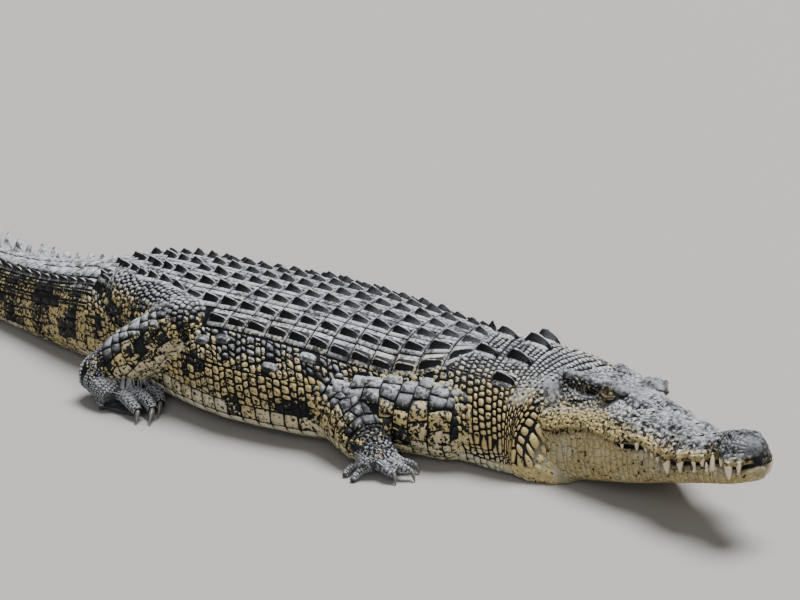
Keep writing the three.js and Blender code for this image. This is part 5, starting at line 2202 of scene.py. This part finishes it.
    def beside_crest(self, side: int, across: Array, s: Array) -> Array:
        """Places a distance to the left of a crest's line, level with it.

        Args:
            side: which crest.
            across: distances in mm.
            s: stations.
        Returns:
            Places in mm, (..., 3).
        """
        place = self.body.point(s, side * self.CREST_TURN(s))
        left = self.body.midline(s)[1]
        return place + np.concatenate([left * across[..., None], 0 * across[..., None]], -1)


class LegCoat:
    """The scales of one leg."""

    PLATE = Relief(height=2.2, shoulder=0.6, gap=0.7, corner=0.2, lift=1.6, inner=0.9)
    RHOMB = Relief(height=2.8, shoulder=0.6, gap=0.9, corner=0.55, lift=1.2, inner=0.82)
    PEARL = Relief(height=2.6, shoulder=0.5, gap=0.9, corner=0.7)
    BAND = Relief(height=1.7, shoulder=0.6, gap=0.5, corner=0.25, lift=0.6)
    # a scale's size in mm on the upper length, the lower length, the bend and the root; True for a foreleg
    SIZES = {True: (31, 20, 17, 22), False: (12.5, 23, 12.5, 14)}
    FIRST_RING = 0.12

    def __init__(self, coat: Coat, finish: bpy.types.Material) -> None:
        """Keeps the coat to add to and its material."""
        self.coat, self.finish = coat, finish

    def on_tube(self, tube: Tube, cell: int, start: float, end: float, pitch: float, width: float,
                relief: Relief, **more: object) -> Field:
        """A field right round a tube, its seam underneath.

        Args:
            tube: the limb's length.
            cell: which sixteenth of the unwrap it takes.
            start: share of the length where it begins.
            end: where it ends.
            pitch: a row's length in mm.
            width: a scale's width in mm.
            relief: the scales' shape.
            more: other settings of the field.
        Returns:
            The field.
        """
        rows = np.linspace(start, end, max(2, round((end - start) * tube.length / pitch) + 1))
        corner = np.array([cell % 4, cell // 4]) / 4
        return Field(
            surface=lambda angle, along: tube.spot(along, angle), rows=rows, low=even(-math.pi),
            high=even(math.pi), size=even(width), relief=relief, own=tube,
            per=lambda v: (tube.wide(v) + tube.tall(v)) / 2,
            uv=lambda angle, v: corner + np.stack([0.01 + 0.22 * v, 0.12 + 0.11 * angle / math.pi], -1),
            **{"paint": self.tube_paint, **more},
        )

    def tube_paint(self, points: Array, angle: Array, along: Array) -> Array:
        """The markings of a limb's scales, palest underneath."""
        return self.coat.markings.leg(points, 0.5 - 0.5 * np.cos(angle))

    def foot_paint(self, points: Array, around: Array, along: Array) -> Array:
        """The markings of a foot's scales."""
        return self.coat.markings.foot(points)

    @staticmethod
    def outward(leg: LegForm) -> Array:
        """The direction in which the elbow or knee points."""
        return unit(unit(leg.bend - leg.root) + unit(leg.bend - leg.wrist))

    def on_ball(self, centre: Array, pole: Array, radii: Sequence[float], pitch: float, cell: int,
                end: float = 2.1, **more: object) -> Field:
        """Rings of scales over the rounded end of a limb's length.

        Args:
            centre: the ball's middle in mm.
            pole: the direction the rings lie round.
            radii: its half sizes.
            pitch: a scale's size in mm.
            cell: which corner of the unwrap it takes.
            end: how far the rings reach from the pole in radians.
            more: other settings of the field.
        Returns:
            The field.
        """
        side = unit(np.cross(pole, np.array([0.0, 0.0, 1.0])))
        over = np.cross(side, pole)
        radii = np.array(radii)
        mean = float(radii.mean())
        settings = {"jitter": 0.2, "paint": lambda points, around, v: self.coat.markings.leg(
            points, np.clip(0.5 - 0.5 * (points[:, 2] - centre[2]) / mean, 0, 1)
        )}
        return Field(
            surface=lambda around, tilt: centre + radii * turned(pole, turned(side, over, around), tilt),
            rows=np.arange(self.FIRST_RING, end, pitch / mean), low=even(-math.pi), high=even(math.pi),
            size=even(pitch), relief=self.RHOMB, per=lambda v: mean * np.sin(v),
            uv=lambda around, v: np.stack([
                0.78 + 0.2 * v / 2.2, 0.87 - 0.25 * cell + 0.11 * around / math.pi
            ], -1),
            **{**settings, **more},
        )

    def build(self, name: str, leg: LegForm) -> None:
        """Lays one leg's coat.

        Args:
            name: the piece's name.
            leg: the leg.
        """
        fore = leg.plan is FORE_LEG
        upper_size, lower_size, bend_size, root_size = self.SIZES[fore]
        upper_relief = self.PLATE if fore else self.RHOMB
        root_radii = np.repeat(leg.plan.upper[0], (1, 2))
        fields = [
            self.on_tube(
                leg.upper, 0, 0.0, 1.0, upper_size, upper_size, upper_relief, jitter=0.24, wobble=0.1
            ),
            self.on_tube(
                leg.lower, 1, 0.0, 0.78, lower_size, lower_size, self.PLATE, jitter=0.36, wobble=0.14
            ),
            self.on_tube(leg.lower, 2, 0.78, 1.0, 8, 9, self.PEARL, jitter=0.25, wobble=0.1),
            self.on_tube(
                leg.foot, 3, 0.0, 1.0, 6.5, 7, self.PEARL, jitter=0.3, wobble=0.1, paint=self.foot_paint
            ),
            self.on_ball(leg.bend, self.outward(leg), leg.plan.knee, bend_size, 0),
            self.on_ball(leg.root, unit(leg.root - leg.bend), root_radii, root_size, 1),
        ]
        over = unit(np.array([0.05, 0.0, 1.0]))
        if fore:
            fields.append(self.on_ball(leg.wrist, over, (37.0, 37.0, 31.0), 8.0, 2, 1.3, own=leg.foot))
            palm_radii, palm_size = (44.0, 44.0, 24.0), 6.5
        else:
            heel = unit(unit(leg.wrist - leg.bend) + unit(leg.wrist - leg.palm))
            fields.append(self.on_ball(
                leg.wrist, heel, (43.0, 43.0, 40.0), 9.0, 2, 1.25, own=leg.foot, paint=self.foot_paint
            ))
            palm_radii, palm_size = (56.0, 52.0, 27.0), 7.5
        fields.append(self.on_ball(
            leg.palm, over, palm_radii, palm_size, 3, 1.25, own=leg.foot, paint=self.foot_paint
        ))
        fields += [
            self.on_tube(
                toe, 4 + number, 0.2, 1.0, 5.0, 18.0, self.BAND, jitter=0.15, wobble=0.03,
                paint=self.foot_paint,
            )
            for number, toe in enumerate(leg.toes)
        ]
        self.coat.piece(name, fields, self.finish)


# ---------- the head's scales, eyes, lids, teeth and the claws ----------
# a loft's places along the head, its sections' corners in shares and their running lengths in mm
Measured = tuple[Array, Array, Array]


class HeadCoat:
    """Low, close scales over the cheeks, the jaws and the skull's roof."""

    LID_CLEAR, EAR_CLEAR, NOSE_FROM = 0.047, 0.013, 0.875
    CHEEK = Relief(height=2.1, shoulder=0.5, gap=0.4, corner=0.6, sink=1.0)
    ROOF = Relief(height=2.2, shoulder=0.4, gap=0.6, corner=0.7, sink=1.2)
    SNOUT = Relief(height=1.1, shoulder=0.55, gap=0.2, corner=0.6, sink=0.8)
    JAW = Relief(height=0.9, shoulder=0.6, gap=0.1, corner=0.3, sink=0.6, inner=0.88, dark=0.68, shade=0.51)
    NOSE = Relief(height=0.5, shoulder=0.7, gap=0.1, corner=0.6, sink=0.5)

    def __init__(self, coat: Coat, finish: bpy.types.Material) -> None:
        """Measures both lofts so that places can be found by distance over the surface.

        Args:
            coat: the coat to add to.
            finish: the scales' material.
        """
        self.coat, self.finish, self.head = coat, finish, coat.animal.head
        self.upper = self.measured(self.head.upper_ring, 45)
        self.lower = self.measured(self.head.lower_ring, 48)

    def measured(self, ring: Bound, last: int) -> Measured:
        """The left half of a loft with each section's length, for finding places on it.

        Args:
            ring: half sections of the loft.
            last: the last rounded corner that belongs to the outer side.
        Returns:
            The sections' places along the head, their corners in shares and their running lengths in mm.
        """
        x = np.linspace(self.head.BACK, 1.01, 150)
        shell = rounded(ring(x))[:, : last + 1]
        return x, shell, running(np.linalg.norm(np.diff(shell, axis=1), axis=2) * SKULL)

    def spot(self, measured: Measured, arc: Array, x: Array) -> Array:
        """A place on a loft.

        Args:
            measured: the loft.
            arc: share of the section's length from its first corner, a minus being on the right.
            x: places along the head.
        Returns:
            Places in mm, (..., 3).
        """
        places, shell, lengths = measured
        row = np.clip(np.searchsorted(places, x) - 1, 0, len(places) - 2)
        t = np.clip((x - places[row]) / (places[1] - places[0]), 0, 1)
        ends = []
        for i in (0, 1):
            known = lengths[row + i]
            column, part = find_between(known, np.clip(np.abs(arc), 0, 1) * known[..., -1])
            ends.append(mix(shell[row + i, column], shell[row + i, column + 1], part[..., None]))
        flat = mix(*ends, t[..., None])
        side = np.where(arc < 0, -1.0, 1.0)
        return self.head.place(np.stack([x, flat[..., 0] * side, flat[..., 1]], -1))

    def field(self, measured: Measured, side: int, span: tuple[float, float], band: tuple[float, float],
              pitch: float, width: float, relief: Relief, cell: int, **more: object) -> Field:
        """A field on one side of one loft.

        Args:
            measured: the loft.
            side: 1 for the left, -1 for the right.
            span: where it runs along the head.
            band: shares of the section it covers.
            pitch: a row's length in mm.
            width: a scale's width in mm.
            relief: the scales' shape.
            cell: which quarter of the unwrap it takes.
            more: other settings.
        Returns:
            The field; its along runs from the snout backwards so that scales face outwards.
        """
        rows = np.linspace(-span[1], -span[0], round((span[1] - span[0]) * SKULL / pitch) + 1)
        low, high = band if side > 0 else (-band[1], -band[0])
        places, _, lengths = measured
        corner = np.array([cell % 2, cell // 2]) / 2
        return Field(
            surface=lambda arc, v: self.spot(measured, arc, -v), rows=rows, low=even(low), high=even(high),
            size=even(width), relief=relief, own=self.head,
            per=lambda v: np.interp(-v, places, lengths[:, -1]),
            uv=lambda arc, v: corner + np.stack([0.05 + 0.4 * (-v + 0.1) / 1.15, 0.25 + 0.23 * arc], -1),
            paint=lambda points, arc, v: self.coat.markings.head(points), reach=22.0, **more,
        )

    def build(self) -> None:
        """Lays the head's scales."""
        plan = (
            (self.upper, (-0.09, 0.34), (0.0, 0.36), 9.5, 10.0, self.ROOF, self.away_from_eye),
            (self.upper, (-0.09, 0.38), (0.36, 0.97), 7.5, 8.0, self.CHEEK, self.away_from_eye),
            (self.upper, (0.34, 0.86), (0.0, 0.5), 14.0, 15.0, self.SNOUT, self.off_nose),
            (self.upper, (0.38, 0.93), (0.5, 0.93), 10.0, 11.0, self.SNOUT, self.off_nose),
            (self.lower, (-0.12, 1.0), (0.1, 1.0), 10.5, 13.0, self.JAW, None),
            (self.upper, (0.86, 0.99), (0.0, 0.86), 7.0, 8.0, self.NOSE, None),
        )
        fields = []
        for side, column in ((1, 0), (-1, 1)):
            for measured, *shape, relief, keep in plan:
                cell = column + (2 if measured is self.lower else 0)
                loose = 0.49 if relief is self.JAW else 0.46
                fields.append(self.field(
                    measured, side, *shape, relief, cell, jitter=loose, wobble=0.2, keep=keep
                ))
        self.coat.piece("head_scales", fields, self.finish)

    def away_from_eye(self, arc: Array, v: Array) -> Array:
        """Whether a place is clear of the lids and of the ear's furrow.

        Args:
            arc: shares of the section's length.
            v: places along the head, turned negative.
        Returns:
            True where it is clear, (n,).
        """
        side = folded(self.head.shares(self.spot(self.upper, arc, -v)))
        clear = np.linalg.norm((side - HeadForm.EYE_AT) * [1, 0, 1], axis=1) > self.LID_CLEAR
        return clear & (to_path(side, EAR) > self.EAR_CLEAR)

    def off_nose(self, arc: Array, v: Array) -> Array:
        """Whether a place is behind the nostrils' bulb."""
        return -v < self.NOSE_FROM


def rim_rings(section: Array) -> Shells:
    """A closed ring-shaped shell.

    Args:
        section: (around, section corners, 3), wound outwards.
    Returns:
        The shell.
    """
    around, corners = section.shape[:2]
    number = np.arange(around * corners).reshape(around, corners)
    onward, over = np.roll(number, -1, axis=0), np.roll(number, -1, axis=1)
    quads = np.stack([number, over, np.roll(onward, -1, axis=1), onward], -1).reshape(-1, 4)
    return Shells(points=[section.reshape(-1, 3)], quads=[quads], count=number.size)


PUPIL_SLENDERNESS, RAYS_MM = 28.0, 1.6
LID_MARKING = (0.4, 0.0, 0.5, 0.3)


class Eye:
    """One eyeball with its slit pupil, and the lids that hold it."""

    RADIUS = 15.1
    WIDE, TOP, BOTTOM = 56.0, 21.0, 19.0
    CORNER = 1.5
    HOLLOW, HOLLOW_OVER, HOLLOW_WITHIN = 12.0, 9.0, 21.0
    GAZE, FRONT = np.array([0.5, 0.8, 0.2]), np.array([0.8, -0.5, -0.24])
    LID_PATH = (
        (1.0, 14.2), (-0.5, 15.2), (0.0, 16.0), (2.5, 16.7), (7.0, 16.9), (13.0, 17.0), (20.0, 17.2),
        (27.0, 16.6), (33.0, 14.6), (20.0, 14.0),
    )

    def __init__(self, animal: Animal, side: int) -> None:
        """Sets the eye's directions: its gaze, towards its front corner, and up.

        Args:
            animal: the forms.
            side: 1 for the left eye, -1 for the right.
        """
        head = animal.head
        self.centre = head.on_side(HeadForm.EYE_AT, side)
        self.gaze = head.turning @ unit(self.GAZE * [1, side, 1])
        front = head.turning @ unit(self.FRONT * [1, side, 1])
        self.front = unit(front - self.gaze * (front @ self.gaze))
        self.up = -side * np.cross(self.gaze, self.front)

    def opening(self, turn: Array) -> Array:
        """The opening's angular radius: an almond with sharp corners, taller above.

        Args:
            turn: angles round the gaze from the front corner towards up.
        Returns:
            Radii in degrees.
        """
        tall = np.where(np.sin(turn) > 0, self.TOP, self.BOTTOM)
        wide = (np.abs(np.cos(turn)) / self.WIDE) ** self.CORNER
        return (wide + (np.abs(np.sin(turn)) / tall) ** self.CORNER) ** (-1 / self.CORNER)

    def direction(self, turn: Array, tilt: Array) -> Array:
        """A direction tilted in degrees from the gaze, turned from the front corner towards up."""
        return turned(self.gaze, turned(self.front, self.up, turn), np.radians(tilt))

    def hollow(self, points: Array) -> Array:
        """Sinks the hide inside the opening so that the eyeball shows.

        Args:
            points: the hide's corners in mm, (n, 3).
        Returns:
            The moved corners in mm, (n, 3).
        """
        offset = points - self.centre
        distance = np.linalg.norm(offset, axis=1)
        toward = offset / np.maximum(distance, 1e-6)[:, None]
        tilt = np.degrees(np.arccos(np.clip(toward @ self.gaze, -1, 1)))
        turn = np.arctan2(toward @ self.up, toward @ self.front)
        inside = (tilt < self.opening(turn) + self.HOLLOW_OVER) & (distance < self.HOLLOW_WITHIN)
        sunk = self.centre + toward * np.minimum(distance, self.HOLLOW)[:, None]
        return np.where(inside[:, None], sunk, points)

    def right_handed(self) -> bool:
        """Whether front, up and gaze are in the order that makes rings face outwards."""
        return np.cross(self.front, self.up) @ self.gaze > 0

    def ball(self, name: str) -> bpy.types.Object:
        """The eyeball with its own directions stored for the iris.

        Args:
            name: the piece's name.
        Returns:
            The object.
        """
        tilt = np.linspace(176, 4, 44)[:, None]
        turn = round_turns(48)[None, :]
        turn = turn if self.right_handed() else turn[:, ::-1]
        rings = self.centre + self.RADIUS * self.direction(*np.broadcast_arrays(turn, tilt))
        shells = Shells()
        shells.rings(rings, self.centre - self.gaze * self.RADIUS, self.centre + self.gaze * self.RADIUS)
        mesh = shells.mesh(name)
        local = (mesh_points(mesh) - self.centre) / self.RADIUS
        axes = np.stack([local @ self.front, local @ self.up, local @ self.gaze, np.ones(len(local))], -1)
        set_colour(mesh, "look", 0.5 + 0.5 * axes)
        return add_object(name, mesh)

    def lids(self, name: str) -> bpy.types.Object:
        """Both lids as one ring with a rounded, thickened margin that dives under the hide.

        Args:
            name: the piece's name.
        Returns:
            The object.
        """
        turn = round_turns(96)[:, None]
        offset, radius = np.array(self.LID_PATH).T
        tilt = self.opening(turn) + offset
        brow = 2.8 * np.maximum(np.sin(turn), 0) * smooth(1, 9, offset) * smooth(30, 14, offset)
        fold = 0.35 * np.sin(offset * 1.1) * smooth(2, 8, offset)
        ways = self.direction(*np.broadcast_arrays(turn, tilt))
        rings = self.centre + ways * (radius + brow + fold)[..., None]
        mesh = rim_rings(rings if self.right_handed() else rings[:, ::-1]).mesh(name)
        set_colour(mesh, "marking", np.tile(LID_MARKING, (len(mesh.vertices), 1)))
        return add_object(name, mesh)


def eye_finish() -> bpy.types.Material:
    """Wet eye: an olive iris with fine rays, a dark rim and an upright slit pupil under a clear coat."""
    # cornea over iris: the smooth clear coat gives the wet glint, the rays the depth of the iris
    f = Finish("eye_cornea_and_iris", Roughness=0.12, Coat_Weight=1.0, Coat_Roughness=0.03)
    stored = f.add("Attribute", attribute_name="look").outputs["Color"]
    look = f.add("SeparateColor", {"Color": stored}).outputs
    offsets = [f.scaled(look[i], 0.0, 1.0, -1.0, 1.0, clamp=False) for i in (0, 1)]
    wide, tall = (f.reckon("MULTIPLY", offset, offset) for offset in offsets)
    slit = f.reckon("ADD", f.reckon("MULTIPLY", wide, PUPIL_SLENDERNESS), tall)
    iris = f.blend(f.noise(RAYS_MM, 3.0), "#2e2a16", "#66602f")
    edge = f.scaled(f.reckon("SQRT", f.reckon("ADD", wide, tall)), 0.58, 0.8)
    f.wire(f.blend(f.scaled(slit, 0.2, 0.26), "#050505", f.blend(edge, iris, "#1d1a12")), "Base Color")
    return f.material


class Horn:
    """Teeth and claws: curved cones of round or oval section. A tooth's sizes are shares of the skull."""

    # each row's teeth, its jaw's half width, how far inside it they stand, which way they point, how stout
    ROWS = (
        (HeadForm.UPPER_TEETH, HeadForm.LIP_HALF, 0.009, -1, 0.22),
        (HeadForm.LOWER_TEETH, HeadForm.JAW_HALF, 0.006, 1, 0.12),
    )
    SWAY, BEND, ROOTED, LEAST_RADIUS = 0.004, 0.12, 0.014, 0.0042

    def __init__(self, animal: Animal) -> None:
        """Keeps the forms they stand on."""
        self.animal = animal

    @staticmethod
    def cone(shells: Shells, line: Array, radii: Array, flat: float = 1.0, sides: int = 14) -> None:
        """Adds a pointed horn along a line.

        Args:
            shells: what to add to.
            line: places along it in mm, the last being the tip.
            radii: its radius at each place but the last.
            flat: sideways radius as a share of the upright one.
            sides: corners round it.
        """
        forward = unit(np.gradient(line, axis=0))[:-1]
        pole = np.where(np.abs(forward[:, 2:]) > 0.9, [[0.3, 1.0, 0.0]], [[0.0, 0.0, 1.0]])
        right = unit(np.cross(forward, pole))
        up = np.cross(right, forward)
        around = turned(up[:, None], flat * right[:, None], round_turns(sides)[None, :])
        shells.rings(line[:-1, None] + around * radii[:, None, None], line[0], line[-1])

    def teeth(self) -> Shells:
        """Both rows of teeth, rooted in the gums and bent a little inwards and back."""
        shells, head = Shells(), self.animal.head
        t = np.linspace(0, 1, 11)
        for teeth, half, inset, rise, stout in self.ROWS:
            for number, tooth in enumerate(teeth):
                x, sway = tooth.place, self.SWAY * math.sin(number * 2.3)
                gum = float(HeadForm.MOUTH_LINE(x)) - rise * float(HeadForm.MOUTH_GAPE(x)) / 2
                bent = self.BEND * tooth.length * t**2
                tall = gum + rise * (-self.ROOTED + (tooth.length + self.ROOTED) * t)
                radius = (self.LEAST_RADIUS + stout * tooth.length) * SKULL
                for side in (-1, 1):
                    shares = np.stack([x - bent + sway * t, side * (float(half(x)) - inset - bent), tall], -1)
                    self.cone(shells, head.place(shares), radius * (1 - t[:-1] ** 2.2) ** 0.75)
        return shells

    def claws(self) -> Shells:
        """All claws: hooked horns from the toes' ends down to the floor."""
        shells = Shells()
        t = np.linspace(0, 1, 12)[:, None]
        for leg in self.animal.legs.values():
            for start, tip, radius in leg.claws:
                middle = (start + tip) / 2 + np.array([0, 0, 0.28 * np.linalg.norm(tip - start)])
                end = tip + np.array([0, 0, 1.4])
                line = start * (1 - t) ** 2 + middle * 2 * t * (1 - t) + end * t**2
                line[0] -= unit(line[1] - line[0]) * 2.0
                reach = radius * 0.97 * (1 - t[:-1, 0] ** 1.5) ** 0.8
                self.cone(shells, line, np.maximum(reach, 0.5), 0.78)
        return shells


STREAK_MM = 6.0


def horn_finish(name: str, root: str, tip: str, roughness: float) -> bpy.types.Material:
    """Claw horn or tooth: streaked along fine noise, a soft gloss on top.

    Args:
        name: the material's name.
        root: its darker colour.
        tip: its lighter colour.
        roughness: how dull it is.
    Returns:
        The material.
    """
    f = Finish(name, Roughness=roughness, Coat_Weight=0.2, Coat_Roughness=0.3)
    streak = f.noise(STREAK_MM, 4.0, 0.6)
    f.wire(f.blend(streak, root, tip), "Base Color")
    f.wire(f.add("Bump", {"Height": streak, "Strength": 0.3, "Distance": 0.6 * MM}).outputs[0], "Normal")
    return f.material


# ---------- stage ----------
@dataclass(frozen=True)
class Lamp:
    """A broad, even light that shines towards the middle from its place; spread is its width in degrees."""

    name: str
    at: tuple[float, float, float]
    spread: float
    power: float
    colour: str


class Studio:
    """Pale floor, soft overhead light and the camera."""

    AZIMUTH, ELEVATION, DISTANCE = 32.0, 19.0, 4.6
    TARGET = (-1168.14, 749.45, 0.0)
    LENS = 99.0
    FLOOR = 300.0
    LAMPS = (
        Lamp("overhead", (0.3, 0.9, 3.2), 34.0, 6.2, "#f7f9ff"),
        Lamp("front", (2.0, -3.2, 2.0), 40.0, 0.95, "#f6f8ff"),
    )

    def build(self, animal: Animal) -> None:
        """Sets the floor, the lamps, the surrounding light and the camera.

        Args:
            animal: the animal, for its shift.
        """
        scene = bpy.context.scene
        # matt studio card: a quiet pale ground that shows the contact shadows
        card = Finish("studio_card", Base_Color=linear("#a5a19a"), Roughness=0.9)
        bpy.ops.mesh.primitive_plane_add(size=self.FLOOR, location=(0, 0, 0))
        floor = bpy.context.object
        floor.name = "floor"
        floor.data.materials.append(card.material)
        for lamp in self.LAMPS:
            light = bpy.data.lights.new(lamp.name, "SUN")
            light.angle = math.radians(lamp.spread)
            light.energy, light.color = lamp.power, linear(lamp.colour)[:3]
            piece = bpy.data.objects.new(lamp.name, light)
            piece.location = lamp.at
            piece.rotation_euler = (-Vector(lamp.at)).to_track_quat("-Z", "Y").to_euler()
            scene.collection.objects.link(piece)
        scene.world = bpy.data.worlds.new("surround")
        scene.world.use_nodes = True
        sky = scene.world.node_tree.nodes["Background"].inputs
        sky["Color"].default_value, sky["Strength"].default_value = linear("#e8eaec"), 0.26
        azimuth, elevation = math.radians(self.AZIMUTH), math.radians(self.ELEVATION)
        look = Vector((-math.sin(azimuth), math.cos(azimuth), 0)) * math.cos(elevation)
        look.z = -math.sin(elevation)
        data = bpy.data.cameras.new("camera")
        data.lens, data.sensor_width, data.clip_end = self.LENS, 36.0, self.FLOOR + 100.0
        camera = bpy.data.objects.new("camera", data)
        camera.location = Vector((np.array(self.TARGET) + animal.shift) * MM) - look * self.DISTANCE
        camera.rotation_euler = look.to_track_quat("-Z", "Y").to_euler()
        scene.collection.objects.link(camera)
        scene.camera = camera


def lay_coat(animal: Animal, markings: Markings, hide: bpy.types.Object) -> None:
    """Lays every piece of scales.

    Args:
        animal: the forms.
        markings: their markings.
        hide: what the scales lie on.
    """
    coat = Coat(animal, markings, hide)
    horn = scale_finish("horn_scales", Hues())
    BodyCoat(coat, horn).build()
    for name, leg in animal.legs.items():
        LegCoat(coat, horn).build(name + "_scales", leg)
    HeadCoat(coat, horn).build()
    LOG.info("coat: %d triangles", coat.faces)


def main() -> None:
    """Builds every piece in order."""
    logging.basicConfig(level=logging.INFO, format="%(message)s")
    animal = Animal()
    markings = Markings(animal)
    hide = Hide(animal, markings).build()
    flesh = [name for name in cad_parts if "claw" not in name and "eye" not in name]
    # hide: leathery skin that shows at the lips, the folds and in the grooves between the scales, coloured
    # mostly near-black as painted shade
    finish_piece(hide, scale_finish("hide", Hues()), Slot.HIDE, flesh)
    lay_coat(animal, markings, hide)
    wet = eye_finish()
    for eye, name in zip(animal.eyes, ("eye_right", "eye_left")):
        finish_piece(eye.ball(name + "_ball"), wet, Slot.EYE, [name])
    for number, eye in enumerate(animal.eyes):
        # lid skin: bare, darker and browner than the scales
        skin = scale_finish(f"lid_{number}", Hues(dark="#2b2721", pale="#8b7a54", dust_and_sheen="#8d8a82"))
        finish_piece(eye.lids(f"lids_{number}"), skin, Slot.HIDE)
    horn = Horn(animal)
    # tooth: warm ivory, a soft gloss; claw: grey keratin streaked along its fibres
    ivory = horn_finish("tooth_ivory", "#b9a67c", "#e9e0c4", 0.32)
    finish_piece(add_object("teeth", horn.teeth().mesh("teeth")), ivory, Slot.TOOTH)
    keratin = horn_finish("claw_horn", "#3a3a39", "#77756c", 0.4)
    claws = [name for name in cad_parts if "claw" in name]
    finish_piece(add_object("claws", horn.claws().mesh("claws")), keratin, Slot.CLAW, claws)
    Studio().build(animal)


if __name__ == "__main__":
    main()
